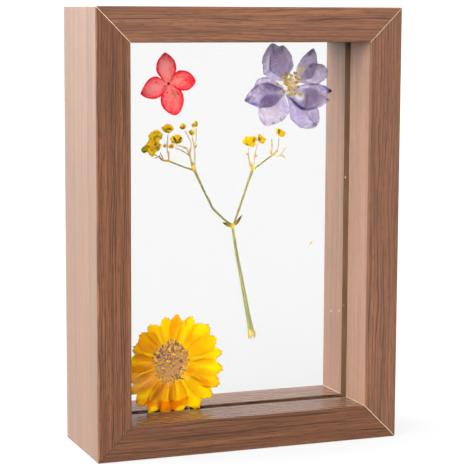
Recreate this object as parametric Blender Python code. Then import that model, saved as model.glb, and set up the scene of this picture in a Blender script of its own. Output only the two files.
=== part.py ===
"""A see-through desk frame with four pressed flowers held between two panes of glass.

The frame is four grooved rails, mitred at the corners, and it stands on its bottom rail.
X runs across the frame, Y from its front (-Y) to its back, and Z up. The origin is the
middle of the underside. Sizes are in metres, and MM turns millimetres into metres. The
flowers' points are (x, z) in millimetres, because the petals all lie flat on the glass.
"""

from collections import namedtuple
from math import atan2, cos, hypot, pi, radians, sin

import bmesh
import bpy
from mathutils import Vector

MM = 0.001

# The frame
FRAME_WIDTH = 130 * MM
FRAME_HEIGHT = 179 * MM
FRAME_DEPTH = 46 * MM
RAIL_FACE = 14 * MM
RAIL_EDGE_ROUND = 0.6 * MM
GROOVE_WIDTH = 7.4 * MM
GROOVE_DEPTH = 5 * MM
MITRE_GAP = 0.3 * MM

# The two panes, and the thin space between them that holds the flowers
PANE_THICKNESS = 2.6 * MM
PANE_SPACE = 1.4 * MM
PANE_IN_GROOVE = 4.5 * MM
PANE_EDGE_BEVEL = 0.25 * MM

# Pressed petals lie in thin layers between the panes, the first at the front
SHEET = 0.15 * MM
LAYER_STEP = 0.34 * MM
LAYERS = 4
LAYER_Y = [(layer - (LAYERS - 1) / 2) * LAYER_STEP for layer in range(LAYERS)]
FRONT, UPPER, LOWER, BACK = range(LAYERS)

# Steps of a petal's outline along each side and across its end
SIDE_STEPS = 12
TIP_STEPS = 12
TIP_SHARE = 0.05

# A side bulges to `width` millimetres at the share `widest` of the petal's length. A `point`
# of 0.5 ends the petal round, and 1 or more ends it in a point.
Side = namedtuple("Side", "width widest point")

# A higher `claw` makes the foot of the petal slimmer, and `foot` is its width at the base.
Petal = namedtuple("Petal", "base tip left right claw foot layer")

HYDRANGEA_EYE = (-28.3, 148.25)
HYDRANGEA_EYE_RADIUS = 0.75
HYDRANGEA = {
    "top_sepal": Petal(
        (-28.5, 148.9), (-29.7, 160.7), Side(4.4, 0.48, 1.05), Side(4.2, 0.48, 1.0), 1.0, 0.12, UPPER
    ),
    "right_sepal": Petal(
        (-27.4, 148.7), (-16.6, 149.1), Side(4.7, 0.42, 0.8), Side(3.7, 0.55, 0.85), 1.0, 0.12, LOWER
    ),
    "bottom_sepal": Petal(
        (-28.1, 147.5), (-25.2, 135.5), Side(5.0, 0.42, 0.62), Side(5.0, 0.47, 0.75), 1.0, 0.12, UPPER
    ),
    "left_sepal": Petal(
        (-29.2, 147.7), (-39.9, 144.4), Side(4.1, 0.45, 0.72), Side(4.7, 0.38, 1.15), 1.0, 0.12, LOWER
    ),
}

LARKSPUR = {
    "upper_left_sepal": Petal(
        (23.3, 148.6), (17.0, 164.0), Side(8.0, 0.42, 0.62), Side(3.6, 0.5, 0.6), 1.0, 0.08, LOWER
    ),
    "upper_left_petal": Petal(
        (22.2, 149.4), (21.3, 163.2), Side(6.5, 0.42, 0.62), Side(4.3, 0.42, 0.7), 1.0, 0.10, UPPER
    ),
    "upper_right_sepal": Petal(
        (27.6, 149.0), (35.2, 161.9), Side(2.5, 0.4, 0.85), Side(6.1, 0.42, 0.8), 1.0, 0.10, LOWER
    ),
    "right_petal": Petal(
        (27.5, 148.0), (41.9, 152.4), Side(5.3, 0.58, 0.55), Side(3.4, 0.6, 0.65), 2.8, 0.08, UPPER
    ),
    "right_sepal": Petal(
        (22.6, 144.7), (43.9, 144.4), Side(2.8, 0.62, 0.95), Side(8.2, 0.43, 1.35), 1.0, 0.03, LOWER
    ),
    "right_lower_petal": Petal(
        (30.7, 144.9), (42.6, 140.4), Side(2.0, 0.4, 1.0), Side(7.3, 0.26, 1.05), 2.2, 0.05, UPPER
    ),
    "lower_right_sepal": Petal(
        (23.0, 143.2), (36.8, 129.7), Side(6.1, 0.62, 0.42), Side(5.7, 0.55, 0.62), 2.2, 0.05, BACK
    ),
    "left_sepal": Petal(
        (23.0, 144.4), (4.9, 140.8), Side(4.8, 0.46, 0.95), Side(5.6, 0.5, 0.75), 1.0, 0.05, UPPER
    ),
    "left_back_petal": Petal(
        (22.4, 145.9), (9.5, 146.8), Side(2.2, 0.6, 0.6), Side(3.8, 0.7, 0.5), 1.0, 0.08, BACK
    ),
    "lower_left_petal": Petal(
        (22.3, 143.2), (14.0, 130.6), Side(6.1, 0.4, 0.95), Side(7.7, 0.42, 0.55), 1.2, 0.05, LOWER
    ),
}
STAMEN_COLUMN = (25.6, 147.7)
STAMEN_COLUMN_RADIUS = 1.9
ANTHER_WIDTH = 0.8
ANTHERS = [
    (19.3, 147.5), (21.0, 151.0), (23.5, 152.4), (26.9, 151.9), (28.6, 149.6),
    (28.1, 146.3), (29.1, 143.1), (26.9, 143.4), (24.8, 143.2), (21.5, 144.2),
]

# The rays of the yellow flower: the direction in degrees, the reach from the flower's
# middle and the half width, in millimetres, in order round the flower.
COSMOS_CENTRE = (-26.8, 34.0)
COSMOS_RAYS = [
    (98.3, 19.0, 3.2), (82.6, 19.8, 3.1), (64.0, 20.6, 3.2), (40.5, 21.7, 5.0), (23.8, 21.6, 3.9),
    (6.6, 22.5, 3.4), (-12.0, 23.1, 3.8), (-28.0, 24.0, 4.0), (-42.6, 24.0, 3.9), (-59.4, 23.8, 4.2),
    (-79.6, 22.2, 4.2), (-97.5, 22.2, 4.0), (-114.8, 23.2, 3.7), (-130.0, 23.0, 3.8),
    (-146.0, 21.3, 3.6), (-163.0, 20.3, 3.9), (179.0, 19.3, 4.0), (156.5, 18.0, 3.9),
    (138.0, 18.5, 4.2), (120.2, 18.6, 3.5),
]
RAY_ROOT = 6.0
RAY_FOOT = 0.3
RAY_CLAW = 1.3
RAY_WIDEST = 0.7
RAY_END = 0.75
RAY_BOW = 0.15
RAY_TEETH = 3
RAY_TOOTH = 0.2
DISC_CENTRE = (-27.3, 34.2)
DISC_RADII = (7.5, 8.7)
DISC_THICKNESS = 0.32 * MM
DISC_CROWN = 0.16 * MM
DISC_STEPS = 32

# The branching spray: each line of points is (x, z, width)
STEM = [
    (-0.35, 89.5, 1.9), (-0.25, 88.5, 1.3), (0.0, 87.0, 1.3), (0.8, 82.0, 1.3), (2.0, 75.5, 1.45),
    (3.55, 68.0, 1.6), (5.05, 60.5, 1.75), (6.35, 54.0, 1.95), (7.4, 48.5, 2.3), (8.1, 45.0, 2.8),
    (8.65, 41.7, 3.3),
]
STEM_THICKNESS = 0.7 * MM
STEM_BEVEL = 0.2 * MM
LEFT_BRANCH = [
    [
        (-1.05, 90.15, 0.7), (-2.6, 91.1, 0.75), (-5.0, 93.1, 0.75), (-8.3, 96.2, 0.75), (-9.3, 97.4, 0.75),
        (-11.0, 100.8, 0.7), (-13.6, 105.7, 0.7), (-17.0, 113.0, 0.8),
    ],
    [
        (-16.9, 112.8, 0.7), (-20.0, 113.8, 0.6), (-24.0, 115.3, 0.6), (-28.0, 116.9, 0.6),
        (-30.2, 117.2, 0.6), (-31.5, 118.0, 0.55), (-32.3, 119.3, 0.45),
    ],
    [(-28.1, 116.8, 0.55), (-28.2, 119.5, 0.55), (-28.7, 121.5, 0.45), (-28.5, 127.7, 0.35)],
    [(-30.2, 117.1, 0.4), (-31.0, 119.0, 0.35), (-31.7, 120.6, 0.35)],
    [
        (-16.9, 112.8, 0.9), (-18.0, 115.6, 0.8), (-19.0, 118.6, 0.6), (-19.1, 119.6, 0.6),
        (-18.7, 121.5, 0.45), (-18.5, 123.8, 0.45), (-19.6, 126.4, 0.4), (-21.2, 129.2, 0.35),
    ],
    [
        (-17.0, 112.9, 0.5), (-16.9, 118.0, 0.5), (-17.1, 122.6, 0.6), (-16.5, 125.0, 0.4),
        (-16.3, 130.3, 0.35),
    ],
    [(-17.1, 122.3, 0.4), (-18.1, 126.6, 0.35)],
    [(-19.1, 119.3, 0.5), (-20.6, 122.0, 0.5), (-23.0, 122.8, 0.35), (-24.8, 123.3, 0.35)],
    [(-19.0, 118.6, 0.4), (-21.6, 120.6, 0.4), (-25.3, 122.2, 0.35)],
]
RIGHT_BRANCH = [
    [(0.35, 90.0, 0.7), (1.2, 92.6, 0.75), (3.8, 99.8, 0.7), (6.2, 106.5, 0.7), (8.5, 112.7, 0.8)],
    [(8.5, 112.4, 0.9), (7.5, 114.2, 0.8), (6.9, 116.0, 0.6), (6.5, 117.6, 0.55), (6.6, 121.7, 0.35)],
    [(8.5, 112.5, 0.7), (8.9, 115.0, 0.5), (9.3, 117.6, 0.55), (9.9, 120.5, 0.35), (10.5, 122.9, 0.35)],
    [(8.6, 112.4, 0.6), (12.0, 114.7, 0.6), (15.0, 116.8, 0.6), (17.0, 118.1, 0.6), (19.2, 119.7, 0.55)],
    [(16.8, 117.9, 0.55), (16.7, 120.0, 0.6), (17.0, 122.0, 0.4), (16.9, 124.8, 0.3)],
    [(19.1, 119.5, 0.4), (19.8, 122.5, 0.3), (20.0, 125.6, 0.3)],
    [(17.9, 118.5, 0.45), (20.6, 118.0, 0.45), (23.3, 121.8, 0.35)],
    [(20.5, 118.1, 0.4), (22.8, 116.6, 0.35)],
]
LEFT_BRACT = Petal((-0.9, 89.2), (-4.9, 91.0), Side(0.75, 0.35, 1.0), Side(0.75, 0.3, 1.0), 1.0, 0.4, FRONT)
RIGHT_BRACT = Petal((0.6, 89.6), (3.7, 93.8), Side(0.6, 0.35, 1.0), Side(0.65, 0.3, 1.0), 1.0, 0.4, FRONT)

# The spray's small yellow heads, each pressed flat into a ragged pad
HEAD_THICKNESS = 0.8 * MM
HEAD_BEVEL = 0.25 * MM
HEADS = {
    "cluster": [
        (-36.7, 127.4), (-35.4, 128.9), (-33.2, 129.8), (-31.6, 128.9), (-30.6, 127.6), (-31.2, 126.1),
        (-32.4, 125.2), (-32.3, 124.2), (-31.4, 123.8), (-31.6, 122.6), (-32.3, 121.3), (-33.6, 120.9),
        (-34.3, 119.4), (-35.3, 118.9), (-36.4, 119.9), (-37.0, 121.1), (-38.4, 120.4), (-39.7, 121.2),
        (-39.6, 122.4), (-38.4, 123.2), (-37.2, 124.3), (-36.4, 126.0),
    ],
    "left_head_1": [
        (-31.3, 130.2), (-30.1, 131.4), (-28.6, 132.0), (-27.0, 131.4), (-26.0, 130.2), (-26.7, 128.9),
        (-28.4, 128.1), (-30.2, 129.0),
    ],
    "left_head_2": [
        (-27.5, 126.0), (-26.8, 127.0), (-25.6, 127.1), (-24.6, 127.6), (-23.3, 127.3), (-22.2, 126.1),
        (-22.4, 124.7), (-23.6, 124.0), (-25.2, 123.8), (-26.9, 124.5),
    ],
    "left_head_3": [
        (-28.1, 123.1), (-27.3, 124.0), (-26.1, 123.6), (-25.9, 122.7), (-26.9, 122.1), (-27.9, 122.3),
    ],
    "left_head_4": [(-30.6, 122.7), (-29.8, 124.1), (-29.2, 123.4), (-29.5, 122.5)],
    "left_head_5": [
        (-23.3, 130.8), (-22.2, 132.1), (-21.0, 131.4), (-20.9, 130.3), (-22.0, 129.6), (-23.1, 130.1),
    ],
    "left_head_6": [
        (-18.7, 131.4), (-17.4, 131.9), (-16.5, 133.2), (-15.7, 132.0), (-16.0, 130.9), (-17.4, 130.3),
    ],
    "left_head_7": [
        (-19.6, 129.0), (-18.0, 129.3), (-17.1, 128.6), (-17.3, 127.5), (-18.2, 127.0), (-19.2, 127.8),
    ],
    "right_head_1": [
        (3.9, 124.0), (4.8, 125.6), (6.0, 126.1), (9.3, 126.1), (10.2, 125.3), (10.0, 124.1), (9.3, 122.3),
        (8.2, 121.7), (6.6, 122.2), (4.6, 123.0),
    ],
    "right_head_2": [
        (10.7, 125.4), (10.8, 126.6), (11.6, 127.1), (12.4, 126.3), (12.8, 125.5), (14.1, 125.2),
        (14.0, 124.1), (13.2, 123.1), (11.9, 123.3), (10.9, 124.0),
    ],
    "right_head_3": [
        (18.9, 128.7), (19.4, 129.1), (20.0, 128.7), (20.6, 129.1), (21.1, 128.2), (22.3, 128.0),
        (23.0, 127.1), (22.3, 126.0), (21.1, 125.7), (19.8, 126.3), (19.0, 127.3),
    ],
}

# Finishes: base colour, roughness
WALNUT = ("walnut", (0.30, 0.14, 0.08), 0.5)
GLASS = ("glass", (0.92, 0.95, 0.94), 0.05)
CORAL = ("coral petal", (0.78, 0.08, 0.09), 0.7)
CORAL_EYE = ("hydrangea eye", (0.08, 0.02, 0.02), 0.8)
LAVENDER = ("lavender petal", (0.42, 0.36, 0.60), 0.7)
ANTHER = ("anther", (0.45, 0.33, 0.05), 0.8)
RAY_YELLOW = ("yellow ray", (0.95, 0.55, 0.01), 0.7)
DISC_TAN = ("tan disc", (0.45, 0.24, 0.08), 0.9)
STEM_OLIVE = ("olive stem", (0.28, 0.27, 0.06), 0.7)
HEAD_GOLD = ("gold head", (0.75, 0.42, 0.02), 0.8)


def clear_scene():
    for old in list(bpy.data.objects):
        bpy.data.objects.remove(old, do_unlink=True)


def finish(name, colour, roughness):
    """The named material, made the first time it is asked for."""
    material = bpy.data.materials.get(name)
    if material is None:
        material = bpy.data.materials.new(name)
        material.use_nodes = True
        shader = material.node_tree.nodes["Principled BSDF"]
        shader.inputs["Base Color"].default_value = (*colour, 1)
        shader.inputs["Roughness"].default_value = roughness
        shader.inputs["Metallic"].default_value = 0
        material.diffuse_color = (*colour, 1)
    return material


def add_object(name, shape, look):
    """An object with the bmesh's faces pointing out and one finish."""
    bmesh.ops.recalc_face_normals(shape, faces=shape.faces)
    mesh = bpy.data.meshes.new(name)
    shape.to_mesh(mesh)
    shape.free()
    mesh.materials.append(finish(*look))
    made = bpy.data.objects.new(name, mesh)
    bpy.context.scene.collection.objects.link(made)
    return made


# ---------------------------------------------------------------- rails and glass


def rail_shape(length):
    """A rail along X: its outer side is at z = 0, and its groove opens at z = RAIL_FACE."""
    half_depth = FRAME_DEPTH / 2
    half_groove = GROOVE_WIDTH / 2
    groove_floor = RAIL_FACE - GROOVE_DEPTH
    profile = [
        (-half_depth, 0), (half_depth, 0), (half_depth, RAIL_FACE), (half_groove, RAIL_FACE),
        (half_groove, groove_floor), (-half_groove, groove_floor), (-half_groove, RAIL_FACE),
        (-half_depth, RAIL_FACE),
    ]
    shape = bmesh.new()
    end = shape.faces.new([shape.verts.new((-length / 2, y, z)) for y, z in profile])
    grown = bmesh.ops.extrude_face_region(shape, geom=[end])["geom"]
    far_end = [item for item in grown if isinstance(item, bmesh.types.BMVert)]
    bmesh.ops.translate(shape, verts=far_end, vec=(length, 0, 0))

    long_edges = [e for e in shape.edges if abs(e.verts[0].co.x - e.verts[1].co.x) > length / 2]
    outer = [e for e in long_edges if abs(e.verts[0].co.y) > half_groove + MM]
    bmesh.ops.bevel(
        shape, geom=outer, offset=RAIL_EDGE_ROUND, segments=2, profile=0.5, affect="EDGES", material=-1
    )
    # The ends slope at 45 degrees, and each is cut back by half of the gap at the mitre.
    cut_back = MITRE_GAP / 2 * 2**0.5
    for vert in shape.verts:
        slope = vert.co.z + cut_back
        vert.co.x += slope if vert.co.x < 0 else -slope
    return shape


def build_frame():
    sides = {
        "bottom_rail": (FRAME_WIDTH, (0, 0, 0), 0),
        "top_rail": (FRAME_WIDTH, (0, 0, FRAME_HEIGHT), pi),
        "left_rail": (FRAME_HEIGHT, (-FRAME_WIDTH / 2, 0, FRAME_HEIGHT / 2), pi / 2),
        "right_rail": (FRAME_HEIGHT, (FRAME_WIDTH / 2, 0, FRAME_HEIGHT / 2), -pi / 2),
    }
    for name, (length, place, turn) in sides.items():
        rail = add_object(name, rail_shape(length), WALNUT)
        rail.location = place
        rail.rotation_euler = (0, turn, 0)


def build_panes():
    opening = (FRAME_WIDTH - 2 * RAIL_FACE, FRAME_HEIGHT - 2 * RAIL_FACE)
    size = (opening[0] + 2 * PANE_IN_GROOVE, PANE_THICKNESS, opening[1] + 2 * PANE_IN_GROOVE)
    offset = (PANE_SPACE + PANE_THICKNESS) / 2
    for name, side in (("front_pane", -1), ("back_pane", 1)):
        shape = bmesh.new()
        bmesh.ops.create_cube(shape, size=1)
        bmesh.ops.scale(shape, verts=shape.verts, vec=size)
        bmesh.ops.bevel(
            shape, geom=shape.edges[:], offset=PANE_EDGE_BEVEL, segments=1, profile=0.5, affect="EDGES",
            material=-1,
        )
        pane = add_object(name, shape, GLASS)
        pane.location = (0, side * offset, FRAME_HEIGHT / 2)


# ---------------------------------------------------------------- pressed sheets


def slab(name, outline, front_y, thickness, look, bevel=0.0):
    """A flat piece with the outline's points (x, z) in millimetres, its front at front_y."""
    shape = bmesh.new()
    front = shape.faces.new([shape.verts.new((x * MM, front_y, z * MM)) for x, z in outline])
    grown = bmesh.ops.extrude_face_region(shape, geom=[front])["geom"]
    back = [item for item in grown if isinstance(item, bmesh.types.BMVert)]
    bmesh.ops.translate(shape, verts=back, vec=(0, thickness, 0))
    if bevel:
        rims = [e for e in shape.edges if abs(e.verts[0].co.y - e.verts[1].co.y) < thickness / 2]
        bmesh.ops.bevel(
            shape, geom=rims, offset=bevel, segments=1, profile=0.5, affect="EDGES", material=-1
        )
    return add_object(name, shape, look)


def side_share(along, side, claw, foot, end):
    """The share of a side's full width at the share `along` of the petal's length."""
    if along < side.widest:
        return foot + (1 - foot) * sin(along / side.widest * pi / 2) ** claw
    past = (along - side.widest) / (1 - side.widest)
    return end + (1 - end) * max(0, 1 - past**2) ** side.point


def petal_outline(petal, end=TIP_SHARE, bow=0, teeth=0, tooth=0):
    """The petal's outline, up its left side, across its end and down its right side."""
    length = hypot(petal.tip[0] - petal.base[0], petal.tip[1] - petal.base[1])
    ahead = ((petal.tip[0] - petal.base[0]) / length, (petal.tip[1] - petal.base[1]) / length)
    leftward = (-ahead[1], ahead[0])

    def point(across, along):
        side = petal.left if across > 0 else petal.right
        width = across * side.width * side_share(along, side, petal.claw, petal.foot, end)
        reach = length * along * (1 - bow * across**2)
        reach += tooth * along**6 * cos(teeth * pi * across)
        return (
            petal.base[0] + ahead[0] * reach + leftward[0] * width,
            petal.base[1] + ahead[1] * reach + leftward[1] * width,
        )

    steps = [(1 - cos(pi * step / SIDE_STEPS)) / 2 for step in range(SIDE_STEPS + 1)]
    up = [point(1, along) for along in steps]
    over = [point(1 - 2 * step / TIP_STEPS, 1) for step in range(1, TIP_STEPS)] if end > TIP_SHARE else []
    down = [point(-1, along) for along in reversed(steps)]
    return up + over + down


def build_petals(flower, petals, look):
    for part, petal in petals.items():
        front_y = LAYER_Y[petal.layer] - SHEET / 2
        slab(f"{flower}_{part}", petal_outline(petal), front_y, SHEET, look)


def circle(centre, radii, steps):
    turns = [2 * pi * step / steps for step in range(steps)]
    return [(centre[0] + radii[0] * cos(turn), centre[1] + radii[1] * sin(turn)) for turn in turns]


def build_hydrangea():
    build_petals("hydrangea", HYDRANGEA, CORAL)
    eye = circle(HYDRANGEA_EYE, (HYDRANGEA_EYE_RADIUS, HYDRANGEA_EYE_RADIUS), 10)
    slab("hydrangea_eye", eye, LAYER_Y[FRONT] - SHEET / 2, 1.5 * SHEET, CORAL_EYE, bevel=SHEET / 2)


def build_larkspur():
    build_petals("larkspur", LARKSPUR, LAVENDER)
    # The stamens are one star: an arm runs from the column out to each anther.
    around = sorted(ANTHERS, key=lambda p: atan2(p[1] - STAMEN_COLUMN[1], p[0] - STAMEN_COLUMN[0]))
    angles = [atan2(z - STAMEN_COLUMN[1], x - STAMEN_COLUMN[0]) for x, z in around]
    star = []
    for index, (x, z) in enumerate(around):
        before = angles[index - 1] if index else angles[-1] - 2 * pi
        valley = (before + angles[index]) / 2
        star.append(
            (
                STAMEN_COLUMN[0] + STAMEN_COLUMN_RADIUS * cos(valley),
                STAMEN_COLUMN[1] + STAMEN_COLUMN_RADIUS * sin(valley),
            )
        )
        across = (-sin(angles[index]) * ANTHER_WIDTH / 2, cos(angles[index]) * ANTHER_WIDTH / 2)
        star.append((x - across[0], z - across[1]))
        star.append((x + across[0], z + across[1]))
    slab("larkspur_stamens", star, LAYER_Y[FRONT] - SHEET / 2, 1.5 * SHEET, ANTHER)


def build_cosmos():
    for index, (direction, reach, half_width) in enumerate(COSMOS_RAYS):
        turn = radians(direction)
        side = Side(half_width, RAY_WIDEST, 0.5)
        ray = Petal(
            (COSMOS_CENTRE[0] + RAY_ROOT * cos(turn), COSMOS_CENTRE[1] + RAY_ROOT * sin(turn)),
            (COSMOS_CENTRE[0] + reach * cos(turn), COSMOS_CENTRE[1] + reach * sin(turn)),
            side, side, RAY_CLAW, RAY_FOOT, (LOWER, BACK)[index % 2],
        )
        outline = petal_outline(ray, end=RAY_END, bow=RAY_BOW, teeth=RAY_TEETH, tooth=RAY_TOOTH)
        slab(f"cosmos_ray_{index + 1:02d}", outline, LAYER_Y[ray.layer] - SHEET / 2, SHEET, RAY_YELLOW)

    # The disc is a flat button with a low crown towards the front.
    front_y = LAYER_Y[UPPER] + SHEET / 2 - DISC_THICKNESS
    disc = slab(
        "cosmos_disc", circle(DISC_CENTRE, DISC_RADII, DISC_STEPS), front_y, DISC_THICKNESS, DISC_TAN
    )
    shape = bmesh.new()
    shape.from_mesh(disc.data)
    shape.faces.ensure_lookup_table()
    face = min((f for f in shape.faces if len(f.verts) == DISC_STEPS), key=lambda f: f.calc_center_median().y)
    for share in (0.25, 0.4):
        bmesh.ops.inset_region(shape, faces=[face], thickness=share * min(DISC_RADII) * MM)
        bmesh.ops.translate(shape, verts=face.verts, vec=(0, -DISC_CROWN / 2, 0))
    shape.to_mesh(disc.data)
    shape.free()


# ---------------------------------------------------------------- the branching spray


def ribbon(points):
    """The outline of a flat stem that follows the points and has their widths."""
    left = []
    right = []
    for index, (x, z, width) in enumerate(points):
        before = points[max(index - 1, 0)]
        after = points[min(index + 1, len(points) - 1)]
        run = Vector((after[0] - before[0], after[1] - before[1])).normalized() * (width / 2)
        left.append((x - run.y, z + run.x))
        right.append((x + run.y, z - run.x))
    return left + right[::-1]


def twig(name, points):
    """A slim round twig through the points, as a mesh object that only serves to be joined."""
    curve = bpy.data.curves.new(name, "CURVE")
    curve.dimensions = "3D"
    curve.bevel_depth = 0.5
    curve.bevel_resolution = 1
    curve.use_fill_caps = True
    spline = curve.splines.new("POLY")
    spline.points.add(len(points) - 1)
    for knot, (x, z, width) in zip(spline.points, points):
        knot.co = (x * MM, 0, z * MM, 1)
        knot.radius = width * MM
    drawn = bpy.data.objects.new(name, curve)
    bpy.context.scene.collection.objects.link(drawn)
    mesh = bpy.data.meshes.new_from_object(drawn.evaluated_get(bpy.context.evaluated_depsgraph_get()))
    bpy.data.objects.remove(drawn)
    mesh.materials.clear()
    mesh.materials.append(finish(*STEM_OLIVE))
    made = bpy.data.objects.new(name, mesh)
    bpy.context.scene.collection.objects.link(made)
    return made


def branch(name, lines):
    """A branch with its twigs, grown together in one piece."""
    trunk = twig(name, lines[0])
    for index, points in enumerate(lines[1:]):
        side_twig = twig(f"{name}_twig_{index}", points)
        side_twig.hide_render = True
        side_twig.display_type = "WIRE"
        union = trunk.modifiers.new(f"twig {index}", "BOOLEAN")
        union.operation = "UNION"
        union.solver = "EXACT"
        union.object = side_twig


def build_spray():
    slab("spray_stem", ribbon(STEM), -STEM_THICKNESS / 2, STEM_THICKNESS, STEM_OLIVE, bevel=STEM_BEVEL)
    branch("spray_left_branch", LEFT_BRANCH)
    branch("spray_right_branch", RIGHT_BRANCH)
    bracts = {"left_bract": LEFT_BRACT, "right_bract": RIGHT_BRACT}
    build_petals("spray", bracts, STEM_OLIVE)
    for part, outline in HEADS.items():
        slab(f"spray_{part}", outline, -HEAD_THICKNESS / 2, HEAD_THICKNESS, HEAD_GOLD, bevel=HEAD_BEVEL)


clear_scene()
build_frame()
build_panes()
build_hydrangea()
build_larkspur()
build_cosmos()
build_spray()
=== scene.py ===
"""The looks of a see-through desk frame with four pressed flowers between two panes of glass.

X runs across the frame, Y from its front (-Y) to its back, and Z up. Sizes multiplied by MM,
and all of them in the last section, are in metres, and the others in millimetres. A point on
the glass is (x, z), as in the CAD source.
"""

from collections import namedtuple
from math import cos, hypot, pi, radians, sin, sqrt
from random import Random

import bmesh
import bpy
from mathutils import Matrix, Quaternion, Vector


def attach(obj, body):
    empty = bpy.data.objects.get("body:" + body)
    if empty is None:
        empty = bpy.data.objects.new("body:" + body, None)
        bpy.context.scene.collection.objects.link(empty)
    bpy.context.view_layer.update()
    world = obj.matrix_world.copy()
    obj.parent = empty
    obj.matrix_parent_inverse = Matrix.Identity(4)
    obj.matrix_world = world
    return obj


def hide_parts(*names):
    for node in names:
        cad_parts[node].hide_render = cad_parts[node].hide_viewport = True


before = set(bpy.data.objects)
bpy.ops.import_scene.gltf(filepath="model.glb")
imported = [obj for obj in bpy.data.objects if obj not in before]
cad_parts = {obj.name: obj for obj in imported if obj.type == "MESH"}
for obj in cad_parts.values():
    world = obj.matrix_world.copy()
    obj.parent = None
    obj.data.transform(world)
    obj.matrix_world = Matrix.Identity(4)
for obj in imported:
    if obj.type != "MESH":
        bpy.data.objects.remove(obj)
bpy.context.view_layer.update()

# ---------------------------------------- the four rails
# Strips of fibreboard wrapped in a walnut-print foil, with a groove along the inner side for
# the glass. Their ends are cut at 45 degrees and glued. The CAD solids have the right shape.
MM = 0.001
FRAME_WIDTH = 130 * MM
FRAME_HEIGHT = 179 * MM
HALF_DEPTH = 23 * MM
HALF_GROOVE = 3.7 * MM
GROOVE_FLOOR = 9 * MM
# The foil runs `along` X (0) or Z (2), and `edge` is where the rail's outer side lies. Its dark
# lines are (distance from that side on the front, width, strength). `shade` scales its colours,
# and a grey painted sheen is lifted onto them. Off the front and the back, as painted light and
# shade for how the light falls on the sides and the ledge, the print is `sides` times as light,
# under a whitish painted sheen, and its lines are `side_lines` times as strong. The groove shows
# the raw board, `board` times as light, which is less at the bottom as painted shade in that
# deep groove.
RailFoil = namedtuple(
    "RailFoil", "along edge seed shade haze sides bloom side_lines board gloss roughness lines"
)
RAIL_FOILS = {
    "left_rail": RailFoil(2, -65, 3.1, 0.95, 0.004, 0.7, 0.029, 0.6, 1, 0.14, 0.44, [
        (0.5, 0.45, 0.7), (1.4, 0.3, 0.8), (2.6, 0.35, 0.7), (3.5, 0.2, 0.4), (4.6, 0.25, 0.5),
        (5.6, 0.25, 0.5), (6.3, 0.4, 0.95), (7.1, 0.3, 0.9), (8, 0.3, 0.8), (8.9, 0.2, 0.4),
        (10, 0.4, 0.8), (10.9, 0.45, 0.95), (11.8, 0.35, 0.9), (12.6, 0.25, 0.6), (17, 0.3, 0.5),
        (21, 0.4, 0.6), (25.5, 0.3, 0.5),
    ]),
    "right_rail": RailFoil(2, 65, 8.4, 1.02, 0.011, 1.34, 0.037, 0.7, 1.15, 0.14, 0.44, [
        (0.6, 0.3, 0.7), (1.7, 0.25, 0.6), (2.7, 0.2, 0.4), (4, 0.35, 0.7), (5.3, 0.2, 0.5),
        (6.6, 0.4, 0.85), (8, 0.3, 0.6), (9.4, 0.4, 0.85), (10.8, 0.3, 0.6), (12.3, 0.4, 0.8),
        (13.4, 0.25, 0.6), (17, 0.3, 0.5), (21.5, 0.4, 0.6), (26, 0.3, 0.5),
    ]),
    "top_rail": RailFoil(0, 179, 5.2, 1.06, 0.0085, 1.2, 0.02, 0.7, 1, 0.2, 0.4, [
        (0.6, 0.2, 0.4), (1.3, 0.3, 0.5), (2.6, 0.25, 0.45), (3.4, 0.2, 0.4), (4.4, 0.6, 0.9),
        (5.3, 0.25, 0.5), (6.2, 0.25, 0.45), (7.2, 0.2, 0.4), (8.2, 0.35, 0.7), (9.6, 0.25, 0.4),
        (10.9, 0.45, 0.75), (11.6, 0.2, 0.4), (12.3, 0.25, 0.45), (13.3, 0.3, 0.6),
    ]),
    "bottom_rail": RailFoil(0, 0, 2.7, 0.88, 0, 1.68, 0.017, 1, 0.7, 0.3, 0.27, [
        (0.9, 0.4, 0.6), (1.6, 0.2, 0.4), (2.4, 0.3, 0.6), (3.5, 0.5, 0.8), (4.3, 0.2, 0.5),
        (5.2, 0.3, 0.6), (6, 0.2, 0.4), (6.8, 0.35, 0.6), (7.6, 0.2, 0.45), (8.5, 0.55, 0.85),
        (9.5, 0.3, 0.6), (10.3, 0.2, 0.45), (11.1, 0.4, 0.7), (12.1, 0.25, 0.5), (13.1, 0.5, 0.8),
        (15.6, 0.7, 0.8), (18.4, 0.6, 0.7), (20.6, 0.9, 0.9), (23.4, 0.5, 0.6), (26, 0.8, 0.7),
        (28.4, 0.5, 0.6),
    ]),
}
PRINT_REPEAT = 30
# How the dark lines wander: the waves' size across and along the rail, and their shift
PRINT_WAVES = [(9.0, 70, 5.2), (3.5, 16, 1.4)]
WALNUT_LIGHT = (0.118, 0.0440, 0.0168)
WALNUT_MID = (0.090, 0.0330, 0.0125)
WALNUT_DARK = (0.022, 0.0076, 0.0036)
PAINTED_SHEEN_TINT = (1.0, 0.98, 0.84)
RAW_BOARD = (0.29, 0.15, 0.085)


def set_inputs(node, inputs):
    """Sets the node's inputs to values, or links them to sockets."""
    for key, value in inputs.items():
        if isinstance(value, bpy.types.NodeSocket):
            node.id_data.links.new(value, node.inputs[key])
        else:
            node.inputs[key].default_value = value


def start_material(name, roughness):
    """A new material, its node tree and its Principled shader."""
    material = bpy.data.materials.new(name)
    material.use_nodes = True
    shader = material.node_tree.nodes["Principled BSDF"]
    set_inputs(shader, {"Roughness": roughness})
    return material, material.node_tree, shader


def add_node(kind, inputs=None, tree=None, **settings):
    """A shader node of that kind in the tree, which a socket among its inputs can tell too."""
    inputs = inputs or {}
    tree = tree or next(v.id_data for v in inputs.values() if isinstance(v, bpy.types.NodeSocket))
    node = tree.nodes.new("ShaderNode" + kind)
    for key, value in settings.items():
        setattr(node, key, value)
    set_inputs(node, inputs)
    return node


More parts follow.
